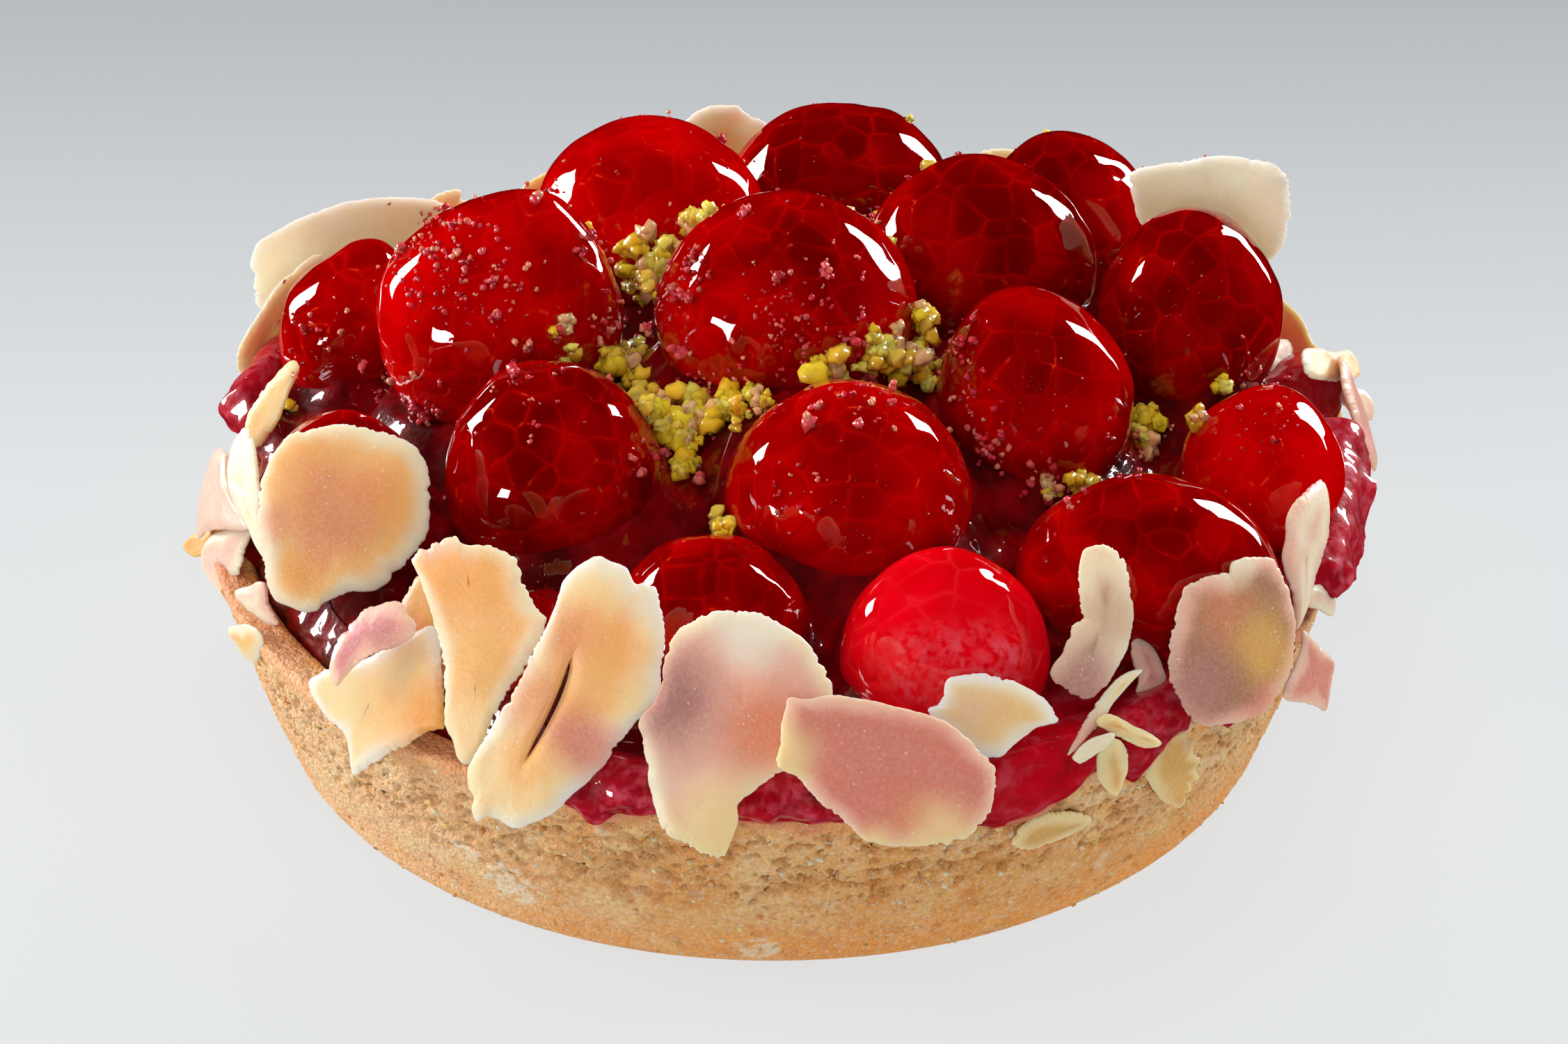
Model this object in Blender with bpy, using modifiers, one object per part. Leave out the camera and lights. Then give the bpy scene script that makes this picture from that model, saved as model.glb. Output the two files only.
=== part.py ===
"""Round tartlet: a shortcrust case, a red glaze filling, whole glazed raspberries and flaked almonds.

Metres, +Z up. The origin is the middle of the flat floor that the tartlet stands on.
The front is -Y. Tables of pieces are in millimetres and degrees and are turned to metres by MM.
"""
import math
import random
from dataclasses import dataclass

import bmesh
import bpy
from mathutils import Matrix, Vector, noise
from mathutils.bvhtree import BVHTree

MM = 0.001
GAP = 0.3
SEED = 7
FLAT_ANGLE = 3.0

# Pastry case
RIM_RADIUS = 44.0
FLOOR_RADIUS = 38.4
CASE_HEIGHT = 17.0
RIM_WALL = 3.1
FOOT_WALL = 4.6
FLOOR_THICKNESS = 4.0
FOOT_FILLET = 2.0
FOOT_COVE = 1.5
WALL_LEVELS = (5.5, 11.0)
RIM_ROUND = 0.8
WALL_BULGE = 0.5
CASE_SEGMENTS = 54
PIT_DEPTH = 0.75
PIT_SPACING = 5.5
PIT_START = (1.0, 3.5)
PIT_END = (14.0, 16.5)
PIT_SKIN = (1.2, 0.2)
PIT_AT_RIM = 0.4
RIM_WAVE = 0.12
RIM_WAVE_SPACING = 16.0

# Glaze filling
BED_TOP = 28.0
BED_EDGE = 18.0
BED_RADIUS = 40.0
LIP_REACH = 46.0
LIP_DROP = 2.8
LIP_CLEAR = 0.45
WRINKLE = 0.45
BANK_HEIGHT = 4.0
FILLING_SEGMENTS = 48
DOME_RADII = (36.5, 31.0, 25.0, 18.5, 12.0, 6.0)
BANK_FROM = (24.0, 38.0)
SPILL_OVER = (0.12, 0.66)
SPILL_DOWN = (0.66, 1.0)
# Edge that stays inside the rim: distance from the inner wall, height over the rim
EDGE_INSIDE = ((-0.1, -0.9), (-0.2, 0.0), (-0.25, 0.15), (-0.4, 0.4), (-0.9, 0.9), (-1.8, 1.5))
# Edge that runs over: radius, height over the rim, share of the drop, share of the bank
EDGE_OVER = (
    (RIM_RADIUS - RIM_WALL, -0.3, 0.0, 0.0),
    (RIM_RADIUS + LIP_CLEAR, 0.0, 0.0, 0.0),
    (RIM_RADIUS + LIP_CLEAR + 0.1, -0.1, 1.0, 0.0),
    (RIM_RADIUS + LIP_CLEAR + 1.0, -0.3, 1.0, 0.0),
    (LIP_REACH, 1.2, 0.4, 0.6),
    (LIP_REACH - 2.0, 3.2, 0.0, 1.0),
)

# Raspberries
BERRY_SEGMENTS = 12
BERRY_RINGS = 8
BERRY_TAPER = 0.13
BERRY_LUMPS = 0.035

# Flaked almonds
FLAKE_THICKNESS = 0.9
FLAKE_EDGE_POINTS = 10
CHIP_EDGE_POINTS = 8
CHIP_LIFTS = 14
CHIP_LIFT = 0.4
CHIP_START = 12.0
FLAKE_RAGGED = 0.07
RING_SCALES = (1.0, 0.55)
SLIT_WIDTH = 1.6
SLIT_ASIDE = 0.4
SLIT_BELOW = 1.0
LAY_STEP = 0.2
BACK_START = 6.0
BACK_FLAKES = 11
BACK_FROM = 6.0
BACK_TO = 148.0
BACK_RANGES = {
    "stray": (-4.0, 4.0),
    "radius": (43.0, 44.5),
    "height": (16.5, 19.5),
    "turn": (-12.0, 12.0),
    "lean": (10.0, 26.0),
    "spin": (-70.0, 70.0),
    "length": (9.5, 14.0),
    "width": (6.5, 9.5),
    "taper": (0.0, 0.4),
    "square": (2.0, 2.7),
}

# Pistachio and sugar crumbs
CRUMB_SUNK = 0.15
GRAIN_SPREAD = 1.2
GRAIN_SIZES = (0.75, 1.35)
FALL_HEIGHT = 60.0


@dataclass
class Berry:
    """One raspberry: middle, half sizes, the way its tip leans to the right and how pointed it is."""
    name: str
    middle: tuple
    half: tuple
    lean: float = 0.0
    point: float = 0.0


@dataclass
class Flake:
    """One slice of almond, laid on from outside along its own normal."""
    name: str
    middle: tuple
    facing: float
    lean: float
    spin: float
    length: float
    width: float
    taper: float = 0.0
    bend: float = 0.0
    cup: float = 0.8
    square: float = 2.0
    slit: float = 0.0
    start: float = 2.5


@dataclass
class Chip:
    """One small almond chip that is stuck to a larger piece."""
    host: str
    middle: tuple
    facing: float
    lean: float
    spin: float
    length: float
    width: float
    taper: float = 0.2


BERRIES = [
    Berry("berry_left_front", (-32.6, -11.6, 23.0), (7.0, 8.0, 8.0), 5),
    Berry("berry_left_back", (-33.6, 15.4, 23.8), (5.5, 6.5, 7.8), 22, 0.15),
    Berry("berry_left_upper", (-21.0, 5.8, 30.2), (9.8, 9.0, 11.4), 19, 0.3),
    Berry("berry_left_lower", (-16.7, -11.4, 26.0), (8.6, 8.6, 9.4), -14),
    Berry("berry_back_left", (-9.7, 22.1, 29.6), (9.5, 8.7, 9.0), 6),
    Berry("berry_top", (0.9, 3.2, 31.9), (10.4, 9.5, 9.8), -4),
    Berry("berry_middle", (5.5, -14.7, 26.0), (9.8, 9.1, 9.4), 2),
    Berry("berry_front_left", (-4.8, -28.4, 23.1), (7.5, 7.4, 7.6), -12),
    Berry("berry_front", (12.4, -31.5, 22.8), (8.0, 7.4, 8.6), 0),
    Berry("berry_right_middle", (19.8, -3.0, 27.5), (7.8, 8.6, 9.4), -10),
    Berry("berry_back_middle", (15.9, 15.3, 29.0), (9.7, 8.2, 9.4), -7),
    Berry("berry_back_upper", (5.0, 32.4, 25.8), (9.5, 7.8, 8.9), -9),
    Berry("berry_back_right", (23.7, 28.6, 25.1), (7.4, 7.0, 8.6), -14),
    Berry("berry_right_upper", (32.3, 9.3, 27.8), (7.5, 8.2, 9.4), 3),
    Berry("berry_right", (37.0, -7.8, 23.9), (6.5, 7.3, 7.1), 8),
    Berry("berry_right_front", (27.6, -22.6, 24.2), (10.1, 7.5, 7.9), 3),
    Berry("berry_under_front", (-19.0, -27.5, 18.6), (6.6, 6.4, 6.6)),
    Berry("berry_under_left", (-22.8, 26.3, 20.7), (6.6, 6.4, 6.6)),
    Berry("berry_under_back", (-10.0, 35.7, 22.2), (6.0, 5.6, 6.0)),
]

# Round the rim in the order in which they were laid, so that later ones lie on earlier ones
FLAKES = [
    Flake("flake_round_left", (-30.9, -21.0, 28.1), -10, 30, 0, 14.0, 13.0, 0.08, square=2.2),
    Flake("flake_behind_tall", (-25.6, -31.5, 21.5), -32, 32, 20, 9, 7.5, 0.2),
    Flake("flake_pale", (-29.4, -31.5, 19.2), -40, 25, 10, 13.5, 11, 0.45, square=2.6),
    Flake("flake_plum", (-29.3, -31.5, 24.0), -40, 45, 60, 7.5, 5, 0.3),
    Flake("flake_tall", (-21.4, -34.0, 24.7), -20, 28, -10, 17, 9.5, 0.5, square=2.7),
    Flake("flake_slit", (-15.0, -38.0, 23.6), -14, 25, 22, 21, 9.6, 0.1, slit=8.0),
    Flake("flake_broad", (-2.4, -40.0, 21.8), -6, 25, -5, 18, 13, 0.5, square=2.4),
    Flake("flake_cream", (15.8, -40.0, 22.4), 16, 32, 75, 9.6, 6.2, -0.45),
    Flake("flake_level", (8.0, -43.0, 20.2), 8, 28, 102, 16.5, 8.8, 0.12, square=2.8),
    Flake("flake_curved", (23.2, -34.0, 27.3), 25, 30, 12, 11.6, 4.8, 0.0, 1.1),
    Flake("flake_oval_right", (32.0, -28.0, 20.8), 36, 25, 14, 13, 9.8, 0.15),
    Flake("flake_pink_right", (40.0, -21.0, 16.5), 64, 12, -10, 6.4, 5.4, 0.2),
    Flake("flake_edge_right", (39.2, -17.0, 23.5), 60, 22, 16, 11.2, 5.0, -0.25),
    Flake("flake_pink_left", (-41.2, -8.0, 22.8), -78, 16, 4, 9.4, 6.4, 0.2),
    Flake("flake_edge_left", (-39.5, -14.6, 28.0), -62, 22, -6, 9.2, 6.0, 0.25),
    Flake("flake_shard", (-38.0, -3.5, 27.6), -50, 30, 32, 9.0, 2.8, -0.55, start=1.0),
    Flake("flake_back_left", (-31.6, 22.5, 20.8), -156, 14, 106, 18.5, 13.0, 0.15, square=2.4),
    Flake("flake_left_back", (-38.6, 17.4, 24.4), -128, 8, -30, 11.0, 5.6, 0.2),
    Flake("flake_back_right", (34.8, 20.5, 32.0), 160, 16, 84, 13.0, 11.0, 0.1, square=3.0),
    Flake("flake_back_centre", (-3.5, 40.0, 24.9), 176, 20, 8, 13.0, 8.4, 0.2),
]

CHIPS = [
    Chip("filling", (23.3, -38.0, 21.4), 32, 30, 38, 9.0, 1.6),
    Chip("filling", (27.1, -33.0, 22.6), 39, 35, 0, 4.8, 3.6),
    Chip("filling", (-41.1, -17.0, 21.7), -68, 20, 5, 4.8, 3.4),
    Chip("filling", (43.0, 4.0, 25.5), 95, 35, 60, 5.0, 3.2),
    Chip("filling", (44.7, 0.0, 23.5), 88, 25, 20, 3.4, 3.0),
    Chip("pastry_case", (29.0, -35.0, 14.5), 40, -15, 10, 6.2, 4.2),
    Chip("pastry_case", (20.1, -40.0, 13.0), 27, -15, 80, 5.8, 2.8),
    Chip("pastry_case", (-41.0, -17.5, 14.5), -66, -15, 20, 4.6, 3.0),
]

# Middle in plan, spread, and how many grains
CRUMBS = [
    ((-5.0, -7.0), 3.2, 9),
    ((-10.5, 0.5), 3.0, 8),
    ((-9.5, 9.5), 2.6, 6),
    ((10.8, -4.5), 2.4, 7),
    ((27.5, -10.5), 2.4, 6),
    ((21.0, -15.0), 2.2, 4),
    ((-20.0, 4.0), 6.5, 6),
    ((1.0, 2.0), 6.5, 4),
]

# Azimuth, width and amount of each tongue of glaze that runs over the rim
TONGUES = [
    (-107, 9, 0.78),
    (-88, 13, 0.66),
    (-66, 11, 1.0),
    (-53, 8, 0.95),
    (-37, 9, 0.92),
    (-10, 14, 1.0),
    (16, 8, 0.7),
    (72, 13, 0.8),
    (118, 11, 0.72),
    (160, 10, 0.8),
    (-172, 7, 0.4),
]

# Azimuth and width of the places where the glaze is banked up against the berries
BANKS = [(4, 15), (-172, 12), (58, 10)]


def clear_scene():
    """Removes every object of the open file."""
    for item in list(bpy.data.objects):
        bpy.data.objects.remove(item, do_unlink=True)


def material(name, colour, roughness, coat=0.0):
    """Plain Principled material."""
    made = bpy.data.materials.new(name)
    made.use_nodes = True
    shader = made.node_tree.nodes["Principled BSDF"]
    shader.inputs["Base Color"].default_value = (*colour, 1.0)
    shader.inputs["Roughness"].default_value = roughness
    shader.inputs["Metallic"].default_value = 0.0
    shader.inputs["Coat Weight"].default_value = coat
    made.diffuse_color = (*colour, 1.0)
    return made


def add_object(name, mesh, finish, collection):
    """Puts a mesh in the collection as a named object with one material."""
    made = bpy.data.objects.new(name, mesh)
    mesh.name = name
    mesh.materials.clear()
    mesh.materials.append(finish)
    collection.objects.link(made)
    return made


def evaluated(item):
    """Copy of an object's mesh with its modifiers applied, in its own frame."""
    bpy.context.view_layer.update()
    graph = bpy.context.evaluated_depsgraph_get()
    return bpy.data.meshes.new_from_object(item.evaluated_get(graph))


def mesh_from(build, name):
    """Mesh made by a function that fills a bmesh."""
    work = bmesh.new()
    build(work)
    mesh = bpy.data.meshes.new(name)
    work.to_mesh(mesh)
    work.free()
    return mesh


def wobble(point, spacing, offset=0.0):
    """Smooth noise from -1 to 1 at a point given in millimetres."""
    return noise.noise(Vector(point) / spacing + Vector((offset, 2 * offset, -offset)))


def ease(value, low, high):
    """Smooth step from 0 at low to 1 at high."""
    part = min(1.0, max(0.0, (value - low) / (high - low)))
    return part * part * (3 - 2 * part)


def turn_apart(a, b):
    """Smallest difference of two angles in degrees."""
    return abs((a - b + 180) % 360 - 180)


def outer_radius(height):
    """Radius of the case's outer wall at a height."""
    part = height / CASE_HEIGHT
    return FLOOR_RADIUS + (RIM_RADIUS - FLOOR_RADIUS) * part + WALL_BULGE * math.sin(math.pi * part)


def inner_radius(height):
    """Radius of the case's inner wall at a height."""
    part = (height - FLOOR_THICKNESS) / (CASE_HEIGHT - FLOOR_THICKNESS)
    return outer_radius(height) - FOOT_WALL - (RIM_WALL - FOOT_WALL) * part


def arc(middle, radius, start, end, count):
    """Points of an arc in the profile's plane, angles in degrees."""
    steps = [start + (end - start) * index / (count - 1) for index in range(count)]
    return [(middle[0] + radius * math.cos(math.radians(angle)),
             middle[1] + radius * math.sin(math.radians(angle))) for angle in steps]


def case_profile():
    """Half section of the case, from the middle of the floor over the rim and down the outer side."""
    inner_foot = inner_radius(FLOOR_THICKNESS)
    points = [(radius, FLOOR_THICKNESS) for radius in (0.0, inner_foot * 0.5, inner_foot - FOOT_COVE)]
    points += [(inner_radius(height), height) for height in WALL_LEVELS]
    rim_level = CASE_HEIGHT - RIM_ROUND
    points += arc((inner_radius(rim_level) + RIM_ROUND, rim_level), RIM_ROUND, 180, 90, 3)
    points += arc((outer_radius(rim_level) - RIM_ROUND, rim_level), RIM_ROUND, 90, 0, 3)
    points += [(outer_radius(height), height) for height in (13.0, 10.0, 7.0, 4.4)]
    foot = (outer_radius(FOOT_FILLET) - FOOT_FILLET, FOOT_FILLET)
    points += arc(foot, FOOT_FILLET, 0, -90, 4)
    points += [(FLOOR_RADIUS * 0.5, 0.0), (0.0, 0.0)]
    return points


def turned_mesh(name, profile, segments, collection, ring=False):
    """Closed body of revolution of a profile in millimetres, which ends on the axis or closes into a ring."""
    mesh = bpy.data.meshes.new(name)
    points = [(radius * MM, 0.0, height * MM) for radius, height in profile]
    edges = [(index, index + 1) for index in range(len(points) - 1)]
    if ring:
        edges.append((len(points) - 1, 0))
    mesh.from_pydata(points, edges, [])
    guide = bpy.data.objects.new(name + "_guide", mesh)
    collection.objects.link(guide)
    screw = guide.modifiers.new("turn", "SCREW")
    screw.axis = "Z"
    screw.steps = segments
    screw.render_steps = segments
    screw.use_merge_vertices = True
    screw.merge_threshold = 0.00001
    made = evaluated(guide)
    bpy.data.objects.remove(guide, do_unlink=True)
    return made


def case_relief(point):
    """Crumbly pits in the outer wall and a slight wave of the rim, in millimetres."""
    x, y, z = point
    radius = math.hypot(x, y)
    if radius < inner_radius(CASE_HEIGHT) - 0.5 and z > 0.5:
        return x, y, z
    wall = outer_radius(max(z, 0))
    side = ease(radius, wall - PIT_SKIN[0], wall - PIT_SKIN[1])
    faded = ease(z, *PIT_START) * (1 - (1 - PIT_AT_RIM) * ease(z, *PIT_END))
    pit = 0.5 + 0.5 * wobble(point, PIT_SPACING) + 0.35 * wobble(point, PIT_SPACING * 0.4, 5.0)
    inward = PIT_DEPTH * min(1.0, max(0.0, pit)) * side * faded
    scale = (radius - inward) / radius if radius > 0 else 1.0
    lift = RIM_WAVE * wobble(point, RIM_WAVE_SPACING, 9.0) * ease(z, CASE_HEIGHT - 1, CASE_HEIGHT - 0.2)
    return x * scale, y * scale, z + lift


def make_case(collection, guides, finish):
    """Pastry case as a turned cup with a crumbly outer wall."""
    mesh = turned_mesh("pastry_case", case_profile(), CASE_SEGMENTS, guides)
    for vertex in mesh.vertices:
        vertex.co = Vector(case_relief(tuple(vertex.co / MM))) * MM
    return add_object("pastry_case", mesh, finish, collection)


def bed_height(radius):
    """Height of the glaze between the berries at a distance from the middle."""
    return BED_TOP - (BED_TOP - BED_EDGE) * (radius / BED_RADIUS) ** 2


def spill(azimuth):
    """How far the glaze runs over the rim at an azimuth, from 0 to 1."""
    return max(
        amount * math.exp(-(turn_apart(azimuth, angle) / width) ** 2)
        for angle, width, amount in TONGUES
    )


def bank(azimuth):
    """How much the glaze is banked up at an azimuth, from 0 to 1."""
    return max(math.exp(-(turn_apart(azimuth, angle) / width) ** 2) for angle, width in BANKS)


def filling_section(azimuth):
    """Half section of the filling at an azimuth, from the bottom to the top, without its ends on the axis."""
    reach = ease(spill(azimuth), *SPILL_OVER)
    drop = ease(spill(azimuth), *SPILL_DOWN) * LIP_DROP
    raised = bank(azimuth) * BANK_HEIGHT
    inside = inner_radius(CASE_HEIGHT - RIM_ROUND) - GAP
    over = CASE_HEIGHT + LIP_CLEAR
    floor = FLOOR_THICKNESS + GAP
    kept_in = [(inside + aside, over + height) for aside, height in EDGE_INSIDE]
    run_over = [
        (radius, over + height - sunk * drop + banked * raised)
        for radius, height, sunk, banked in EDGE_OVER
    ]
    edge = [
        (near[0] + (far[0] - near[0]) * reach, near[1] + (far[1] - near[1]) * reach)
        for near, far in zip(kept_in, run_over)
    ]
    foot = inner_radius(FLOOR_THICKNESS)
    low = [(foot * 0.5, floor), (foot - FOOT_COVE - GAP, floor)]
    low += [(inner_radius(height) - GAP, height + GAP) for height in WALL_LEVELS]
    dome = [(radius, bed_height(radius) + raised * ease(radius, *BANK_FROM)) for radius in DOME_RADII]
    return low + edge + dome


def wrinkle(point):
    """Uneven outer skin of the glaze, in millimetres, none where it meets the case."""
    x, y, z = point
    radius = math.hypot(x, y)
    free = ease(z, CASE_HEIGHT + 0.8, CASE_HEIGHT + 2.0)
    outward = WRINKLE * wobble(point, 4.0, 3.0) * free * ease(radius, 30, 42)
    lift = 0.5 * wobble(point, 7.0, 11.0) * free
    scale = (radius + outward) / radius if radius > 0 else 1.0
    return x * scale, y * scale, z + lift


def loft(work, rings, first, last):
    """Closed skin over rings of equal length, with a point at each end."""
    rows = [[work.verts.new(Vector(point) * MM) for point in ring] for ring in rings]
    start = work.verts.new(Vector(first) * MM)
    end = work.verts.new(Vector(last) * MM)
    count = len(rows[0])
    for index in range(count):
        after = (index + 1) % count
        work.faces.new((start, rows[0][after], rows[0][index]))
        work.faces.new((end, rows[-1][index], rows[-1][after]))
        for lower, upper in zip(rows, rows[1:]):
            work.faces.new((lower[index], lower[after], upper[after], upper[index]))
    bmesh.ops.recalc_face_normals(work, faces=work.faces)
    bmesh.ops.triangulate(work, faces=work.faces)


def make_filling(collection, finish):
    """Glaze filling, from the case's floor up to the bed between the berries and over the rim."""
    angles = [360.0 * index / FILLING_SEGMENTS for index in range(FILLING_SEGMENTS)]
    sections = [filling_section(angle) for angle in angles]
    rings = []
    for row in range(len(sections[0])):
        ring = []
        for angle, section in zip(angles, sections):
            radius, height = section[row]
            turn = math.radians(angle)
            ring.append(wrinkle((radius * math.cos(turn), radius * math.sin(turn), height)))
        rings.append(ring)
    bottom = (0.0, 0.0, FLOOR_THICKNESS + GAP)
    top = (0.0, 0.0, BED_TOP)
    mesh = mesh_from(lambda work: loft(work, rings, bottom, top), "filling")
    return add_object("filling", mesh, finish, collection)


def rim_cutter(guides):
    """Ring round the case's rim and outer wall, larger by the gap, which keeps the glaze clear of them."""
    middle = inner_radius(CASE_HEIGHT) + RIM_WALL * 0.4
    top = CASE_HEIGHT + RIM_WAVE + GAP
    inside = inner_radius(CASE_HEIGHT - RIM_ROUND) - GAP * 0.5
    low = CASE_HEIGHT - 2.5 * LIP_DROP
    shoulder = CASE_HEIGHT - RIM_ROUND
    profile = [
        (inside, top),
        (outer_radius(shoulder) - RIM_ROUND, top),
        (outer_radius(shoulder) + GAP, shoulder),
        (outer_radius(low) + GAP, low),
        (middle - 1.0, low),
        (inside, shoulder),
    ]
    mesh = turned_mesh("rim_cutter", profile, CASE_SEGMENTS, guides, ring=True)
    return bpy.data.objects.new("rim_cutter", mesh)


def berry_mesh(berry, grow=0.0):
    """Raspberry as an egg with low lumps, wide at its foot, in its own frame."""
    half = [size + grow for size in berry.half]
    offset = sum(berry.middle)

    def build(work):
        bmesh.ops.create_uvsphere(work, u_segments=BERRY_SEGMENTS, v_segments=BERRY_RINGS, radius=1.0)
        for vertex in work.verts:
            x, y, z = vertex.co
            narrow = 1 - BERRY_TAPER * max(0.0, z) ** 1.5 - berry.point * max(0.0, z) ** 2
            lump = 1 - BERRY_LUMPS * (0.5 + 0.5 * wobble((x, y, z), 0.55, offset))
            vertex.co = Vector((x * half[0] * narrow, y * half[1] * narrow, z * half[2])) * lump * MM

    return mesh_from(build, berry.name)


def place_berry(item, berry):
    """Puts a berry at its place with its lean."""
    item.location = Vector(berry.middle) * MM
    item.rotation_euler = (0.0, math.radians(berry.lean), 0.0)


def combine(item, others, operation, guides):
    """Applies one Boolean of a whole collection to an object and removes the collection's objects."""
    helper = bpy.data.collections.new("helpers")
    guides.children.link(helper)
    for other in others:
        other.hide_render = True
        other.display_type = "WIRE"
        helper.objects.link(other)
    boolean = item.modifiers.new("combine", "BOOLEAN")
    boolean.operation = operation
    boolean.operand_type = "COLLECTION"
    boolean.collection = helper
    boolean.solver = "EXACT"
    mesh = evaluated(item)
    item.modifiers.clear()
    kept = item.data.materials[0]
    item.data = mesh
    mesh.materials.clear()
    mesh.materials.append(kept)
    for other in others:
        bpy.data.objects.remove(other, do_unlink=True)
    bpy.data.collections.remove(helper)


def keep_largest(item):
    """Drops loose scraps that a Boolean leaves, and triangulates what stays."""
    work = bmesh.new()
    work.from_mesh(item.data)
    bmesh.ops.remove_doubles(work, verts=work.verts, dist=0.000004)
    bmesh.ops.dissolve_degenerate(work, edges=work.edges, dist=0.000004)
    left = set(work.verts)
    islands = []
    while left:
        found = {left.pop()}
        edge = list(found)
        while edge:
            near = {link.other_vert(vertex) for vertex in edge for link in vertex.link_edges} - found
            found |= near
            left -= near
            edge = list(near)
        islands.append(found)
    largest = max(islands, key=len)
    loose = [vertex for vertex in work.verts if vertex not in largest]
    bmesh.ops.delete(work, geom=loose, context="VERTS")
    bmesh.ops.dissolve_limit(work, angle_limit=math.radians(FLAT_ANGLE), verts=work.verts, edges=work.edges)
    bmesh.ops.triangulate(work, faces=work.faces)
    work.to_mesh(item.data)
    work.free()


def make_berries(collection, finish):
    """All raspberries, each its own object."""
    made = []
    for berry in BERRIES:
        item = add_object(berry.name, berry_mesh(berry), finish, collection)
        place_berry(item, berry)
        made.append(item)
    return made


def pocket_cutters():
    """Berries grown by the gap, which cut their pockets in the filling."""
    cutters = []
    for berry in BERRIES:
        cutter = bpy.data.objects.new(berry.name + "_cutter", berry_mesh(berry, GAP + 0.05))
        place_berry(cutter, berry)
        cutters.append(cutter)
    return cutters


def almond_outline(flake, angle, scale):
    """Point of a slice's outline, or of a ring inside it, in its own plane."""
    power = 2.0 / flake.square
    across = math.copysign(abs(math.cos(angle)) ** power, math.cos(angle))
    along = math.copysign(abs(math.sin(angle)) ** power, math.sin(angle))
    spot = (math.cos(angle) * 1.4, math.sin(angle) * 1.4, flake.middle[0])
    ragged = 1 + FLAKE_RAGGED * wobble(spot, 0.6, flake.length) * scale
    x = 0.5 * flake.width * across * (1 + flake.taper * along) * ragged * scale
    y = 0.5 * flake.length * along * ragged * scale
    return x + flake.bend * (along * along - 0.4) * scale, y


def almond_height(flake, x, y):
    """Height of a slice's middle surface: cupped across, and slightly waved along."""
    across = 2 * x / flake.width
    along = 2 * y / flake.length
    wave = 0.35 * wobble((x, y, flake.middle[1]), 6.0, 4.0)
    return -flake.cup * 0.5 * (across * across + 0.6 * along * along) + wave


def sheet(work, flake, points, scales):
    """Open surface of a slice: rings of its outline from the edge inwards, then a middle point or a slit."""
    rings = []
    for scale in scales:
        ring = []
        for index in range(points):
            x, y = almond_outline(flake, 2 * math.pi * index / points, scale)
            ring.append(work.verts.new(Vector((x, y, almond_height(flake, x, y))) * MM))
        rings.append(ring)
    if flake.slit:
        ring = []
        for index in range(points):
            angle = 2 * math.pi * index / points
            x = 0.5 * SLIT_WIDTH * math.cos(angle) + SLIT_ASIDE
            y = 0.5 * flake.slit * math.sin(angle) - SLIT_BELOW
            ring.append(work.verts.new(Vector((x, y, almond_height(flake, x, y))) * MM))
        rings.append(ring)
    for outer, inner in zip(rings, rings[1:]):
        for index in range(points):
            after = (index + 1) % points
            work.faces.new((outer[index], outer[after], inner[after], inner[index]))
    if not flake.slit:
        middle = work.verts.new(Vector((0, 0, almond_height(flake, 0, 0))) * MM)
        for index in range(points):
            work.faces.new((rings[-1][index], rings[-1][(index + 1) % points], middle))
    bmesh.ops.triangulate(work, faces=work.faces)


def flake_axes(flake):
    """Turn of a slice: its width, length and outward normal as columns."""
    facing = math.radians(flake.facing)
    lean = math.radians(flake.lean)
    normal = Vector((math.sin(facing) * math.cos(lean), -math.cos(facing) * math.cos(lean), math.sin(lean)))
    up = Vector((-math.sin(facing) * math.sin(lean), math.cos(facing) * math.sin(lean), math.cos(lean)))
    right = up.cross(normal)
    spin = math.radians(flake.spin)
    along = up * math.cos(spin) + right * math.sin(spin)
    across = along.cross(normal)
    return Matrix((across, along, normal)).transposed(), normal


def solid_sheet(item):
    """Gives an open surface its thickness."""
    thicken = item.modifiers.new("thickness", "SOLIDIFY")
    thicken.thickness = FLAKE_THICKNESS * MM
    thicken.offset = 0.0


def tree_of(items):
    """One search tree over the evaluated meshes of several objects, in world space."""
    points = []
    faces = []
    bpy.context.view_layer.update()
    for item in items:
        mesh = evaluated(item) if item.modifiers else item.data.copy()
        start = len(points)
        points += [item.matrix_world @ vertex.co for vertex in mesh.vertices]
        faces += [tuple(start + corner for corner in face.vertices) for face in mesh.polygons]
        bpy.data.meshes.remove(mesh)
    return BVHTree.FromPolygons(points, faces)


def lay_on(item, normal, obstacles, start):
    """Moves a slice in along its normal until it would touch, or out until it is clear, and leaves the gap."""
    tree = tree_of(obstacles)
    place = item.location.copy()

    def touches(shift):
        item.location = place + normal * shift * MM
        bpy.context.view_layer.update()
        return bool(tree_of([item]).overlap(tree))

    shift = start
    while shift > -start and not touches(shift):
        shift -= LAY_STEP
    while touches(shift):
        shift += LAY_STEP
    item.location = place + normal * (shift + GAP * 0.5) * MM


def add_flake(flake, collection, finish, obstacles):
    """One slice of almond as its own object, resting on what was laid before."""
    mesh = mesh_from(lambda work: sheet(work, flake, FLAKE_EDGE_POINTS, RING_SCALES), flake.name)
    item = add_object(flake.name, mesh, finish, collection)
    turn, normal = flake_axes(flake)
    item.location = Vector(flake.middle) * MM
    item.rotation_euler = turn.to_euler()
    solid_sheet(item)
    bpy.context.view_layer.update()
    lay_on(item, normal, obstacles, flake.start)
    return item


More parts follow.
